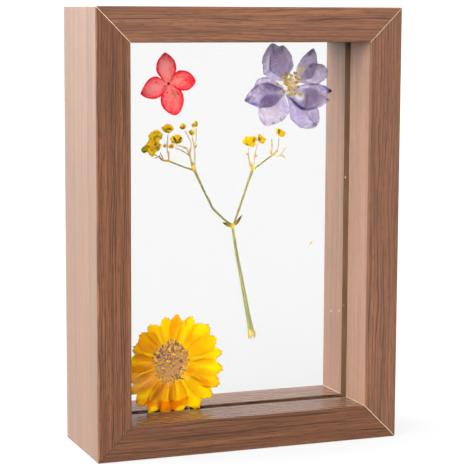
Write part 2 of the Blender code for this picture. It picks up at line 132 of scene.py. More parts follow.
def mix_colours(amount, under, over, blend="MIX"):
    """One colour laid over another, each of them a socket or (red, green, blue)."""
    under, over = (c if isinstance(c, bpy.types.NodeSocket) else (*c, 1) for c in (under, over))
    inputs = {0: amount, 6: under, 7: over}
    return add_node("Mix", inputs, data_type="RGBA", blend_type=blend).outputs[2]


def rescale(value, low, high, to_low=0.0, to_high=1.0):
    """The value's range from low to high, stretched and held to the new range."""
    inputs = {"Value": value, 1: low, 2: high, 3: to_low, 4: to_high}
    return add_node("MapRange", inputs).outputs["Result"]


def calculate(operation, first, second=0.0, third=0.0):
    return add_node("Math", {0: first, 1: second, 2: third}, operation=operation).outputs[0]


def times(first, second):
    return calculate("MULTIPLY", first, second)


def plus(first, second):
    return calculate("ADD", first, second)


def vector_step(operation, inputs):
    return add_node("VectorMath", inputs, operation=operation).outputs


def object_place(tree):
    return add_node("TexCoord", tree=tree).outputs["Object"]


def blotches(place, size, detail=2.0, distortion=0.0):
    """Soft noise around 0.5, in blotches of that size, or of one size for each direction."""
    sizes = size if isinstance(size, (list, tuple)) else [size] * 3
    stretched = add_node("Mapping", {"Vector": place, "Scale": [1 / (s * MM) for s in sizes]})
    inputs = {"Vector": stretched.outputs[0], "Scale": 1.0, "Detail": detail, "Distortion": distortion}
    return add_node("TexNoise", inputs).outputs[0]


def emboss(shader, height, depth, strength=0.5):
    bump = add_node("Bump", {"Height": height, "Distance": depth * MM, "Strength": strength})
    set_inputs(shader, {"Normal": bump.outputs[0]})


def walnut_foil(name, foil):
    """Printed walnut: soft bands, long wavy dark lines, short fibres, fine pores, and painted sheen and side
    light.
    """
    material, tree, shader = start_material(name, foil.roughness)
    set_inputs(shader, {"Specular IOR Level": foil.gloss})
    # The grey lift added to every colour is a painted sheen
    light, mid, dark = (
        [channel * foil.shade + foil.haze for channel in colour]
        for colour in (WALNUT_LIGHT, WALNUT_MID, WALNUT_DARK)
    )
    place = object_place(tree)
    x, y, z = add_node("SeparateXYZ", {0: place}).outputs
    shifted = add_node("Mapping", {"Vector": place, "Location": [foil.seed] * 3}).outputs[0]

    def grain(across, length, detail, distortion=0.0):
        size = [across] * 3
        size[foil.along] = length
        return blotches(shifted, size, detail, distortion)

    # How far the point is from the rail's outer side, across the foil, in millimetres
    out = calculate("MULTIPLY_ADD", z if foil.along == 0 else x, 1 / MM, -foil.edge)
    away = plus(calculate("ABSOLUTE", out), calculate("MULTIPLY_ADD", y, 1 / MM, HALF_DEPTH / MM))
    for across, length, shift in PRINT_WAVES:
        away = calculate("MULTIPLY_ADD", grain(across, length, 2.0), shift, away)
    away = calculate("SUBTRACT", away, sum(shift for _, _, shift in PRINT_WAVES) / 2)
    away = calculate("WRAP", away, PRINT_REPEAT, 0.0)

    bands = rescale(grain(3.0, 90, 2.0, 0.3), 0.40, 0.60)
    fibres = rescale(grain(0.40, 24, 3.0), 0.42, 0.60)
    pores = rescale(grain(0.35, 4.5, 2.0), 0.55, 0.66)
    broken = rescale(grain(1.5, 26, 3.0), 0.36, 0.54, 0.35, 1.0)
    colour = mix_colours(bands, light, mid)
    colour = mix_colours(times(fibres, 0.42), colour, dark)
    deepest = 0.0
    for offset, width, strength in foil.lines:
        near = calculate("ABSOLUTE", calculate("SUBTRACT", away, offset))
        line = rescale(near, width * 0.8, width * 0.35, 0.0, strength)
        deepest = calculate("MAXIMUM", line, deepest)

    # From 0 on the front and the back to 1 on the sides, where the lines change and light is painted
    side_lines_and_light_mask = rescale(y, 0.5 * MM - HALF_DEPTH, 1.5 * MM - HALF_DEPTH)
    side_lines_and_light_mask = times(side_lines_and_light_mask, rescale(y, HALF_DEPTH - 0.2 * MM, HALF_DEPTH - 0.02 * MM, 1.0, 0.0))
    lines = times(times(deepest, broken), rescale(side_lines_and_light_mask, 0.0, 1.0, 1.0, foil.side_lines))
    colour = mix_colours(lines, colour, dark)
    colour = mix_colours(times(pores, 0.5), colour, dark)
    # Painted light and shade: the sides are made `sides` times as light, lighter on the ledge and the right
    # rail's inner side and darker on the left outer side, and a whitish painted sheen is added on them.
    painted_side_light = rescale(side_lines_and_light_mask, 0.0, 1.0, 1.0, foil.sides)
    colour = vector_step("SCALE", {0: colour, "Scale": painted_side_light})[0]
    colour = mix_colours(side_lines_and_light_mask, colour, [channel * foil.bloom for channel in PAINTED_SHEEN_TINT], "ADD")

    # Within the groove the cut has gone through the foil into the raw board
    middle = FRAME_HEIGHT / 2
    cut = calculate("LESS_THAN", calculate("ABSOLUTE", x), FRAME_WIDTH / 2 - GROOVE_FLOOR + 0.1 * MM)
    cut = times(cut, calculate("COMPARE", y, 0.0, HALF_GROOVE + 0.05 * MM))
    cut = times(cut, calculate("COMPARE", z, middle, middle - GROOVE_FLOOR + 0.1 * MM))
    # A lower `board`, as in the bottom rail, darkens the groove as painted shade in that deep gap.
    colour = mix_colours(cut, colour, [channel * foil.board for channel in RAW_BOARD])

    emboss(shader, calculate("SUBTRACT", 1.0, calculate("MAXIMUM", lines, pores)), 0.03, 0.2)
    roughness = rescale(lines, 0, 1, foil.roughness, foil.roughness + 0.06)
    set_inputs(shader, {"Base Color": colour, "Roughness": roughness})
    return material


def coat(node_name, material):
    """Gives a CAD solid that stays in view its finish."""
    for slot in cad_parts[node_name].material_slots:
        slot.material = material


for node_name, foil in RAIL_FOILS.items():
    coat(node_name, walnut_foil(f"walnut_foil_{node_name}", foil))

# ---------------------------------------- the glued mitres
# Where two rails meet, the cut edge of the board and foil shows as a hairline. It is pale at
# three corners, and at the lower left one, where more glue has soaked in, it is dark.
RAIL_FACE = 14 * MM
MITRE_THICKNESS = 0.21 * MM
MITRE_INSET = 0.13 * MM
MITRE_CORNER = 0.62 * MM
MITRES = {
    "mitre_top_left": (-1, 1, "pale"),
    "mitre_top_right": (1, 1, "pale"),
    "mitre_bottom_right": (1, 0, "pale"),
    "mitre_bottom_left": (-1, 0, "dark"),
}


def cut_edge(name, colour):
    material, tree, shader = start_material(name, 0.8)
    fibres = blotches(object_place(tree), 0.4, 4.0)
    dark = [0.7 * channel for channel in colour]
    set_inputs(shader, {"Base Color": mix_colours(rescale(fibres, 0.4, 0.65), colour, dark)})
    emboss(shader, fibres, 0.05)
    return material


CUT_EDGES = {
    "pale": cut_edge("cut_board_edge", (0.46, 0.33, 0.235)),
    "dark": cut_edge("glue_soaked_edge", (0.065, 0.026, 0.014)),
}


def add_object(name, shape, material, smooth=False):
    """The shape as an object with that material."""
    mesh = bpy.data.meshes.new(name)
    shape.to_mesh(mesh)
    shape.free()
    mesh.materials.append(material)
    for polygon in mesh.polygons:
        polygon.use_smooth = smooth
    added = bpy.data.objects.new(name, mesh)
    bpy.context.scene.collection.objects.link(added)
    return added


def finish_piece(name, shape, material, nodes=(), smooth=False):
    """The piece as an object that rides with the frame and stands for the nodes it replaces."""
    piece = add_object(name, shape, material, smooth)
    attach(piece, "root")
    if nodes:
        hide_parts(*nodes)
    return piece


# The section of a rail, y against the distance from its outer side
back = HALF_DEPTH - MITRE_INSET
groove = HALF_GROOVE + MITRE_INSET
groove_end = GROOVE_FLOOR - MITRE_INSET
RAIL_SECTION = [
    (-back, MITRE_INSET), (back, MITRE_INSET), (back, RAIL_FACE), (groove, RAIL_FACE),
    (groove, groove_end), (-groove, groove_end), (-groove, RAIL_FACE), (-back, RAIL_FACE),
]
for name, (side, top, look) in MITRES.items():
    # One thin sheet of that section, turned into the corner
    shape = bmesh.new()
    shape.faces.new([shape.verts.new((0, y, out)) for y, out in RAIL_SECTION])
    bmesh.ops.bevel(
        shape, geom=[v for v in shape.verts if abs(v.co.y) > 2 * groove and v.co.z < 2 * MITRE_INSET],
        offset=MITRE_CORNER, segments=2, profile=0.5, affect="VERTICES", material=-1,
    )
    grown = bmesh.ops.extrude_face_region(shape, geom=shape.faces[:])["geom"]
    far_side = [item for item in grown if isinstance(item, bmesh.types.BMVert)]
    bmesh.ops.translate(shape, verts=far_side, vec=(MITRE_THICKNESS, 0, 0))
    bmesh.ops.translate(shape, verts=shape.verts, vec=(-MITRE_THICKNESS / 2, 0, 0))
    bmesh.ops.scale(shape, verts=shape.verts, vec=(1, 1, sqrt(2)))
    inward = Vector((-side, 0, -1 if top else 1)).normalized()
    turn = Vector((0, 0, 1)).rotation_difference(inward).to_matrix().to_4x4()
    corner = Matrix.Translation((side * FRAME_WIDTH / 2, 0, FRAME_HEIGHT if top else 0))
    bmesh.ops.transform(shape, matrix=corner @ turn, verts=shape.verts)
    bmesh.ops.recalc_face_normals(shape, faces=shape.faces)
    finish_piece(name, shape, CUT_EDGES[look])

# ---------------------------------------- the two panes
# Clear picture glass that slides into the groove, one pane in front of the flowers and one
# behind them. The photo shows no reflection in it, so it has a coating that cuts the glare.
clear_glass, _, shader = start_material("clear_glass", 0.0)
set_inputs(shader, {"Base Color": (0.899, 0.900, 0.900, 1), "Transmission Weight": 1.0, "IOR": 1.5})
set_inputs(shader, {"Specular Tint": (0.04, 0.045, 0.05, 1)})
coat("front_pane", clear_glass)
coat("back_pane", clear_glass)

# ---------------------------------------- the hydrangea floret
# Four coral sepals round a small dark eye, two of them in front of the other two. A dried
# petal is a thin sheet that lets some light through. The tone runs from salmon at 0 to red.
SHEET = 0.15
LAYER_STEP = 0.34
LAYER_Y = [(layer - 1.5) * LAYER_STEP for layer in range(4)]
FRONT, UPPER, LOWER, BACK = range(4)
SHEET_COLUMNS = 16
SHEET_ROWS = 30
CRINKLE = 0.03
TIP_SHARE = 0.05

# Each side of a petal is (width, widest, point): it bulges to that width at the share `widest`
# of the petal's length. A point of 0.5 ends it round, and 1 or more ends it in a point. A
# higher `claw` makes the foot slimmer, and `foot` is the share of its width at the base.
Petal = namedtuple("Petal", "tone base tip left right claw foot layer")

HYDRANGEA = {
    "top_sepal":
        (0.15, (-28.5, 148.5), (-29.7, 160.6), (4.4, 0.5, 0.9), (4.2, 0.5, 0.84), 1, 0.14, UPPER),
    "right_sepal":
        (1, (-27.9, 148.6), (-16.6, 149.1), (4.7, 0.45, 0.64), (3.7, 0.57, 0.66), 1, 0.14, LOWER),
    "bottom_sepal":
        (0.6, (-28.1, 147.9), (-25.2, 135.5), (5, 0.44, 0.62), (5, 0.49, 0.75), 1, 0.14, UPPER),
    "left_sepal":
        (0.25, (-28.6, 148), (-39.9, 144.4), (4.1, 0.47, 0.72), (4.7, 0.4, 1.15), 1, 0.14, LOWER),
}
# Marks on dried tissue, with some painted light and shade among them, one laid over the other: a
# paint, and its ovals as (x, z, half length, half width, slant, strength) and, where it isn't 0.65,
# the share that the soft edge takes up.
HYDRANGEA_MARKS = [
    ("red", (-33.4, 148.7, 0.8, 0.7, 0, 0.8), (-36.5, 147, 0.6, 0.4, 30, 0.6),
        (-28.8, 144.6, 0.6, 0.5, 0, 0.9), (-28.2, 156.4, 0.5, 0.3, 60, 0.4), (-31, 144, 0.5, 0.3, 40, 0.5),
        (-34.9, 145.2, 0.4, 0.3, 0, 0.5)),
    ("tan", (-25.7, 144, 2.9, 1.3, -62, 0.85), (-29.6, 147.2, 1.3, 0.8, 20, 0.8)),
    # The red line at (-30.4, 146), where the left and bottom sepals meet by the eye, is painted shade.
    ("red", (-24.2, 144.2, 2.2, 0.4, -55, 0.9), (-26.4, 141.2, 0.4, 0.3, 0, 0.6),
        (-30.4, 146, 2.2, 0.3, 52, 0.7)),
    ("salmon", (-29, 152, 2.6, 2.2, 90, 0.8), (-24, 149.4, 3.2, 1.3, 15, 0.7)),
    ("bright", (-18.6, 149.2, 2.8, 2.6, 80, 0.85), (-22.4, 146.6, 3.4, 0.7, 14, 0.6),
        (-23.2, 141, 2.8, 1, -70, 0.6)),
    # Of these red lines, the four by the eye are painted shade along edges where one sepal lies on another;
    # the two on the right sepal are veins.
    ("red", (-20.6, 149.6, 1.8, 0.22, 12, 0.6), (-20.4, 150.8, 1.5, 0.2, 24, 0.5),
        (-26.4, 147.4, 2.2, 0.28, -22, 0.7), (-24.6, 146.2, 1.6, 0.28, -38, 0.7),
        (-30.6, 149.6, 2.6, 0.25, -50, 0.6), (-26.3, 149.9, 2.2, 0.25, 52, 0.6)),
    # The pink patches are painted light: they lighten the top and left sepals, which the rails shade.
    ("pink", (-29.8, 155.4, 5, 3, 85, 0.8), (-34.2, 146.4, 4, 2.6, 20, 0.6),
        (-25.2, 138, 2.4, 1.4, 60, 0.35)),
    ("red", (-39.4, 144.4, 0.8, 0.8, 0, 0.7)),
]
HYDRANGEA_EYE = (-28.3, 148.25)
CORAL = (0.97, 0.125, 0.135)
SALMON = (0.97, 0.330, 0.310)
CRIMSON = (0.92, 0.018, 0.050)
HYDRANGEA_PAINTS = {
    "red": (0.66, 0.014, 0.035), "tan": (0.58, 0.21, 0.12), "salmon": (0.96, 0.40, 0.27),
    "bright": (0.98, 0.060, 0.085), "pink": (0.98, 0.45, 0.43),
}


def toned_shape():
    """An empty shape whose points can carry a tone for its finish."""
    shape = bmesh.new()
    shape.verts.layers.float.new("tone")
    return shape


def side_width(along, side, petal, end):
    """The width of the petal's side at the share `along` of its length."""
    width, widest, point = side
    if along < widest:
        return width * (petal.foot + (1 - petal.foot) * sin(along / widest * pi / 2) ** petal.claw)
    past = (along - widest) / (1 - widest)
    return width * (end + (1 - end) * max(0, 1 - past**2) ** point)


def petal_sheet(petal, seed, frill=0.0, end=TIP_SHARE, bow=0.0, tooth=0.0, notch=0.0):
    """A grid bent into the petal's outline, with a UV map that runs across and along it.

    `frill` makes its rim wavy, `end` is the share of its width that is left at the tip, `bow`
    rounds the tip off, and `tooth` and `notch` cut into it.
    """
    base = Vector(petal.base)
    ahead = Vector(petal.tip) - base
    length = ahead.length
    ahead /= length
    leftward = Vector((-ahead.y, ahead.x))
    shape = toned_shape()
    seeds = shape.verts.layers.float.new("seed")
    tones = shape.verts.layers.float["tone"]
    bmesh.ops.create_grid(shape, x_segments=SHEET_COLUMNS, y_segments=SHEET_ROWS, size=1)
    weave = shape.loops.layers.uv.new("petal")
    for face in shape.faces:
        for loop in face.loops:
            loop[weave].uv = ((loop.vert.co.x + 1) / 2, (loop.vert.co.y + 1) / 2)
    for vert in shape.verts:
        across = -vert.co.x
        along = (1 - cos(pi * (vert.co.y + 1) / 2)) / 2
        ripple = 0.6 * sin(19 * along + seed) + 0.4 * sin(47 * along + 3 * seed + across)
        width = across * side_width(along, petal.left if across > 0 else petal.right, petal, end)
        width *= 1 + frill * across**2 * ripple
        # Teeth, waves and a notch at the tip
        teeth = tooth * (1 - 2 * abs(sin(4.2 * across + seed)))
        waves = 0.2 * frill * sin(9 * across + 2 * seed) - notch * max(0, 1 - abs(3 * across))
        reach = length * along * (1 - bow * across**2) + along**8 * (teeth + length * waves)
        spot = base + ahead * reach + leftward * width
        crinkle = CRINKLE * sin(7 * across + seed) * sin(21 * along + 2 * seed)
        vert.co = Vector((spot.x, LAYER_Y[petal.layer] + crinkle, spot.y)) * MM
        vert[tones] = petal.tone
        vert[seeds] = seed
    return shape


def thicken(piece):
    """Turns a sheet into one of the thickness that the CAD petals have."""
    solid = piece.modifiers.new("thickness", "SOLIDIFY")
    solid.thickness = SHEET * MM
    solid.offset = 0


def petal_coordinates(tree):
    """Across the petal from -1 to 1, along it from 0 to 1, and how near its rim from 0 to 1."""
    spread = add_node("SeparateXYZ", {0: add_node("UVMap", tree=tree).outputs[0]})
    across = calculate("MULTIPLY_ADD", spread.outputs["X"], 2.0, -1.0)
    along = spread.outputs["Y"]
    uneven = blotches(object_place(tree), 1.1, 2.0)
    rim = calculate("MAXIMUM", calculate("ABSOLUTE", across), along)
    return across, along, plus(rim, rescale(uneven, 0.3, 0.7, -0.07, 0.07))


def attribute(tree, name):
    return add_node("Attribute", tree=tree, attribute_name=name).outputs["Fac"]


def veins(across, along, count, wander):
    """Lines that run from the foot to the tip of a petal, from 0 to 1 at the middle of a line."""
    inputs = {0: across, 1: along, 2: attribute(across.id_data, "seed")}
    drift = add_node("CombineXYZ", inputs).outputs[0]
    shake = add_node("TexNoise", {"Vector": drift, "Scale": 3.0, "Detail": 3.0})
    bent = calculate("MULTIPLY_ADD", shake.outputs[0], wander, across)
    wave = calculate("SINE", times(bent, count * pi / 2))
    return rescale(calculate("ABSOLUTE", wave), 0.36, 0.0)


def ragged(place, size, shift):
    """The place shaken by noise, so that marks laid out on it have uneven edges."""
    noise = add_node("TexNoise", {"Vector": place, "Scale": 1 / (size * MM), "Detail": 2.0})
    centred = vector_step("SUBTRACT", {0: noise.outputs["Color"], 1: (0.5, 0.5, 0.5)})[0]
    shaken = vector_step("SCALE", {0: centred, "Scale": shift * MM})[0]
    return vector_step("ADD", {0: place, 1: shaken})[0]


def from_oval(place, x, z, long, wide, turn=0):
    """How far the place is from the middle of an oval, with 1 on the oval itself."""
    inputs = {
        "Vector": place, "Location": (x * MM, 0, z * MM),
        "Rotation": (0, -radians(turn), 0), "Scale": (long * MM, 1, wide * MM),
    }
    oval = add_node("Mapping", inputs, vector_type="TEXTURE").outputs[0]
    return vector_step("LENGTH", {0: oval})["Value"]


def paint_marks(colour, place, marks, paints, usual_edge=0.65):
    """The colour with each oval mark laid over it, soft towards its edge."""
    for paint, *ovals in marks:
        for x, z, long, wide, turn, strength, *edge in ovals:
            away = from_oval(place, x, z, long, wide, turn)
            inner = 1 - (edge[0] if edge else usual_edge)
            colour = mix_colours(rescale(away, 1.0, inner, 0.0, strength), colour, paints[paint])
    return colour


def show_through(shader, colour, share, gamma=0.5):
    """Mixes the petal's surface with the paler light that comes through it from behind."""
    set_inputs(shader, {"Base Color": colour, "Specular IOR Level": 0.0})
    clearer = add_node("Gamma", {"Color": colour, "Gamma": gamma}).outputs[0]
    behind = add_node("BsdfTranslucent", {"Color": clearer}).outputs[0]
    both = add_node("MixShader", {0: share, 1: shader.outputs[0], 2: behind}).outputs[0]
    set_inputs(shader.id_data.nodes["Material Output"], {"Surface": both})


coral_petal, tree, shader = start_material("coral_petal", 0.6)
across, along, rim = petal_coordinates(tree)
place = object_place(tree)
mottle = blotches(place, 1.0, 5.0, 0.8)
redness = times(attribute(tree, "tone"), rescale(along, 0.1, 0.9))
colour = mix_colours(rescale(mottle, 0.34, 0.56), CORAL, SALMON)
colour = mix_colours(rescale(along, 0.0, 0.30, 0.6, 0.0), colour, SALMON)
colour = mix_colours(times(redness, 0.8), colour, CORAL)
lines = veins(across, along, 11, 0.45)
colour = mix_colours(times(lines, 0.36), colour, CRIMSON)
colour = paint_marks(colour, ragged(place, 0.8, 0.7), HYDRANGEA_MARKS, HYDRANGEA_PAINTS)
margin = times(rescale(rim, 0.64, 0.88), rescale(along, 0.10, 0.35, 0.5, 1.0))
colour = mix_colours(margin, colour, CRIMSON)
emboss(shader, plus(lines, mottle), 0.05, 0.5)
show_through(shader, colour, 0.5, 0.62)

for seed, (part, petal) in enumerate(HYDRANGEA.items()):
    shape = petal_sheet(Petal(*petal), seed, frill=0.02)
    thicken(finish_piece(f"coral_{part}", shape, coral_petal, [f"hydrangea_{part}"]))

dark_eye, tree, shader = start_material("dark_eye", 0.7)
grit = blotches(object_place(tree), 0.25, 3.0)
colour = mix_colours(rescale(grit, 0.4, 0.65), (0.075, 0.018, 0.015), (0.38, 0.055, 0.040))
set_inputs(shader, {"Base Color": colour})
emboss(shader, grit, 0.05)

egg = bmesh.new()
bmesh.ops.create_uvsphere(egg, u_segments=8, v_segments=6, radius=1)
EGG = bpy.data.meshes.new("egg")
egg.to_mesh(EGG)
egg.free()


def bead(shape, place, radii, turn, tone=0.0):
    """Adds a small egg-shaped bead with its `tone` to a shape that has a tone layer."""
    stretch = Matrix.Diagonal((*(radius * MM for radius in radii), 1))
    matrix = Matrix.Translation(Vector(place) * MM) @ Matrix.Rotation(turn, 4, "Y") @ stretch
    count = len(shape.verts)
    shape.from_mesh(EGG)
    tones = shape.verts.layers.float["tone"]
    for vert in shape.verts[count:]:
        vert.co = matrix @ vert.co
        vert[tones] = tone


# The eye is a flat knob with four pinhead buds in a cross on it.
shape = toned_shape()
eye_x, eye_z = HYDRANGEA_EYE
eye_y = LAYER_Y[FRONT]
bead(shape, (eye_x, eye_y, eye_z), (0.62, 0.15, 0.62), 0)
for quarter in range(4):
    out = radians(90 * quarter + 40)
    at = (eye_x + 0.38 * cos(out), eye_y - 0.08, eye_z + 0.38 * sin(out))
    bead(shape, at, (0.24, 0.1, 0.24), 0)
finish_piece("coral_floret_eye", shape, dark_eye, ["hydrangea_eye"], smooth=True)

# ---------------------------------------- the larkspur floret
# Ten lavender sepals and petals in layers, so thin that each shows the ones behind it, and a
# tuft of cream stamens with olive anthers. The tone runs from mauve at 0 to pale pink at 1.
LARKSPUR = {
    "upper_left_sepal":
        (0.68, (23.3, 148.6), (17, 164), (8, 0.42, 0.62), (3.6, 0.5, 0.6), 1, 0.08, LOWER),
    "upper_left_petal":
        (0.8, (22.2, 149.4), (21.3, 163.2), (6.5, 0.42, 0.62), (4.3, 0.42, 0.7), 1, 0.1, UPPER),
    "upper_right_sepal":
        (0.62, (27.6, 149), (35.2, 161.9), (2.5, 0.4, 0.85), (6.1, 0.42, 0.8), 1, 0.1, LOWER),
    "right_petal":
        (0.88, (27.5, 148), (41.9, 152.4), (5.3, 0.58, 0.55), (3.6, 0.6, 0.65), 1.9, 0.08, UPPER),
    "right_sepal":
        (0.42, (22.6, 144.7), (43.9, 144.4), (3.1, 0.6, 0.95), (8.2, 0.43, 1.35), 1, 0.03, LOWER),
    "right_lower_petal":
        (0.8, (30.7, 144.9), (42.6, 140.4), (2, 0.4, 1), (7.3, 0.26, 1.05), 2.2, 0.05, UPPER),
    "lower_right_sepal":
        (0.36, (23, 143.2), (36.8, 129.7), (6.1, 0.62, 0.42), (5.7, 0.55, 0.62), 2.2, 0.05, BACK),
    "left_sepal":
        (0.26, (23, 144.4), (4.9, 140.8), (4.8, 0.46, 0.95), (5.6, 0.5, 0.75), 1, 0.05, UPPER),
    "left_back_petal":
        (0.8, (22.4, 145.9), (9.5, 146.8), (2.2, 0.6, 0.6), (3.8, 0.7, 0.5), 1, 0.08, BACK),
    "lower_left_petal":
        (0.9, (22.3, 143.2), (14, 130.6), (6.1, 0.4, 0.95), (7.7, 0.42, 0.55), 1.2, 0.05, LOWER),
}
NOTCHED = {"upper_left_petal": 0.10}
# Folds, pale and straw-coloured places, blue rims, a painted highlight, and painted shade where a petal
# covers another
LARKSPUR_MARKS = [
    ("plum", (21.2, 162.1, 1.6, 0.6, 85, 0.55), (24.6, 154.6, 2.2, 0.6, 72, 0.5),
        (23, 151.2, 2, 0.9, 60, 0.5), (34.2, 160.4, 3, 1.1, 52, 0.75), (41.5, 152.7, 1.2, 0.9, 80, 0.85),
        (41.8, 140.8, 1.1, 0.9, 0, 0.9), (38.6, 138.9, 1.6, 0.5, 22, 0.5)),
    ("shade", (15.8, 140.6, 5, 2.9, 20, 0.55, 0.15), (16.8, 145.9, 4.6, 1.8, -22, 0.4, 0.3),
        (33.8, 152.6, 3.4, 2.3, 70, 0.38, 0.15), (34.6, 142.8, 4.6, 3.2, 84, 0.38, 0.2)),
    ("straw", (30.1, 153.4, 2.5, 2.1, 35, 0.9), (29.2, 150.2, 1.5, 1.2, 60, 0.6),
        (19.5, 156.3, 0.7, 0.9, 0, 0.7), (9.2, 141, 1.3, 0.8, 10, 0.5), (16.2, 136, 3, 2, 20, 0.25)),
    # The thin white line at (31.6, 146.1) is a painted highlight.
    ("white", (31.6, 146.1, 2.2, 0.35, 0, 0.9), (28.6, 141.2, 2.6, 1.8, -60, 0.75),
        (24.6, 146, 3.4, 2.4, 60, 0.6), (15, 157.6, 0.9, 3.6, -8, 0.35)),
    ("plum", (17.2, 161.6, 3, 0.7, -82, 0.65), (34.1, 154.6, 0.9, 0.7, 0, 0.6),
        (36, 155.3, 1.8, 0.4, -12, 0.6), (31.6, 152, 1.8, 0.4, 80, 0.45), (38, 143.9, 2.4, 0.5, -12, 0.35),
        (21, 145.5, 2.4, 0.5, -26, 0.7)),
    ("violet", (14.6, 151.8, 3, 0.9, 70, 0.5), (18.4, 149.9, 2.2, 0.8, -25, 0.7),
        (29.4, 156.3, 2.6, 0.8, 50, 0.4), (22.6, 138.2, 3.2, 1.4, -75, 0.6), (28, 134, 4.4, 2, -60, 0.35)),
    ("blue", (41.2, 145.9, 2.4, 0.7, -28, 0.9), (8.8, 139.5, 2.9, 0.7, -10, 0.95),
        (6.9, 141.9, 1.6, 0.5, 55, 0.5)),
    # The broad plum patch at (15.6, 139.6) is painted shade where the lower left petal covers the left
    # sepal.
    ("plum", (15.9, 155.2, 3.6, 0.5, -88, 0.5), (15.3, 149.9, 1.4, 0.5, 0, 0.7),
        (35.6, 147.2, 3.4, 0.6, 4, 0.5), (16.4, 147.2, 3.6, 0.6, -14, 0.6), (9.3, 146, 3.4, 0.45, 44, 0.6),
        (15.6, 139.6, 3.4, 1.2, 20, 0.25), (13.2, 141.8, 2.6, 0.4, 40, 0.5)),
    ("olive", (39.5, 154.5, 1, 0.5, -30, 0.6), (17.6, 131.4, 0.9, 0.7, 0, 0.9),
        (21, 132.9, 1.2, 0.6, -40, 0.9)),
    ("navy", (43.2, 144.3, 1.9, 1.3, 0, 1), (41.9, 145, 1.4, 0.5, -20, 0.5),
        (5.8, 141.1, 1.8, 1.2, 20, 0.75)),
    ("mauve", (14.2, 131.9, 1.2, 1.9, 0, 0.6), (22, 134.8, 1.8, 0.6, 40, 0.5)),
    ("straw", (31.1, 142, 2.6, 0.4, 88, 0.6)),
    ("violet", (29.2, 139, 2.2, 2, -40, 0.5)),
    ("plum", (32.4, 140.3, 3.4, 0.6, 84, 0.55), (8, 142, 2.4, 1.1, -20, 0.5)),
    ("navy", (27.2, 139.7, 6.2, 0.45, -39, 0.8)),
    ("plum", (30.6, 137.2, 1.9, 1, -40, 0.8), (33.9, 133.4, 3.8, 0.7, -50, 0.6)),
    ("tan", (32.2, 138, 1, 0.7, 30, 0.6)),
    ("plum", (34.6, 137.4, 2.6, 0.5, 18, 0.45)),
    ("navy", (36.3, 130.7, 1.7, 1, 45, 0.7)),
    ("plum", (35.4, 133.6, 2.2, 0.35, -80, 0.4)),
]
MAUVE = (0.400, 0.318, 0.442)
LAVENDER = (0.470, 0.400, 0.650)
PALE_PINK = (0.640, 0.530, 0.620)
LARKSPUR_PAINTS = {
    "white": (0.90, 0.90, 0.93), "straw": (0.66, 0.54, 0.24), "violet": (0.40, 0.34, 0.72),
    "blue": (0.10, 0.13, 0.60), "plum": (0.130, 0.085, 0.190), "olive": (0.16, 0.16, 0.10),
    "navy": (0.022, 0.014, 0.050), "tan": (0.50, 0.33, 0.30), "mauve": (0.46, 0.30, 0.42),
    "shade": (0.285, 0.215, 0.370),
}

lavender_petal, tree, shader = start_material("lavender_petal", 0.55)
across, along, rim = petal_coordinates(tree)
place = object_place(tree)
mottle = blotches(place, 0.9, 5.0, 0.8)
paleness = plus(attribute(tree, "tone"), rescale(mottle, 0.38, 0.62, -0.38, 0.38))
colour = mix_colours(rescale(paleness, 0.0, 0.5), MAUVE, LAVENDER)
colour = mix_colours(rescale(paleness, 0.5, 1.0), colour, PALE_PINK)
colour = mix_colours(rescale(along, 0.05, 0.30, 0.7, 0.0), colour, PALE_PINK)
lines = veins(across, along, 11, 0.7)
colour = mix_colours(times(lines, 0.6), colour, LARKSPUR_PAINTS["shade"])
stretched = add_node("CombineXYZ", {0: across, 1: times(along, 11.0)}).outputs[0]
creases = blotches(stretched, 1 / MM, 2.0, 1.2)
colour = mix_colours(rescale(creases, 0.53, 0.61, 0.0, 0.42), colour, LARKSPUR_PAINTS["white"])
rim = times(rescale(rim, 0.91, 0.97, 0.0, 0.8), rescale(mottle, 0.42, 0.56, 0.25, 1.0))
colour = mix_colours(rim, colour, LARKSPUR_PAINTS["plum"])
colour = paint_marks(colour, ragged(place, 0.9, 0.8), LARKSPUR_MARKS, LARKSPUR_PAINTS)
emboss(shader, plus(lines, mottle), 0.06, 0.6)
show_through(shader, colour, 0.78)

for seed, (part, petal) in enumerate(LARKSPUR.items()):
    shape = petal_sheet(Petal(*petal), seed, frill=0.06, notch=NOTCHED.get(part, 0.0))
    thicken(finish_piece(f"lavender_{part}", shape, lavender_petal, [f"larkspur_{part}"]))

STAMEN_COLUMN = (25.6, 147.7)
ANTHERS = [
    (19.3, 147.5), (21, 151), (22.3, 150.5), (23.5, 152.4), (25.2, 151), (26.9, 151.9), (27.6, 150.2),
    (28.6, 149.6), (27.7, 148.2), (28.1, 146.3), (29.1, 143.1), (26.9, 143.4), (26.4, 144.8),
    (24.8, 143.2), (24.2, 144.9), (25, 145.4), (24.1, 146.3), (23.2, 147), (22.6, 148.1), (22.6, 149.3),
    (21.5, 144.2), (24.3, 149.4),
]


def two_tone(name, first, second, grain_size, roughness=0.75, through=0.0):
    """A dried finish that runs from one colour to the other by each vertex's tone."""
    material, tree, shader = start_material(name, roughness)
    grit = blotches(object_place(tree), grain_size, 3.0)
    tone = plus(attribute(tree, "tone"), rescale(grit, 0.3, 0.7, -0.35, 0.35))
    colour = mix_colours(rescale(tone, 0.0, 1.0), first, second)
    emboss(shader, grit, 0.08, 0.6)
    if through:
        show_through(shader, colour, through)
    else:
        set_inputs(shader, {"Base Color": colour})
    return material


def smooth_line(points, steps):
    """The points with evenly spread ones between them, on a curve through them all."""
    ends = [points[0], *points, points[-1]]
    line = []
    for a, b, c, d in zip(ends, ends[1:], ends[2:], ends[3:]):
        for step in range(steps):
            t = step / steps
            line.append([
                q + t * (r - p) / 2 + t**2 * (p - 2.5 * q + 2 * r - s / 2) + t**3 * (3 * (q - r) + s - p) / 2
                for p, q, r, s in zip(a, b, c, d)
            ])
    return line + [list(points[-1])]


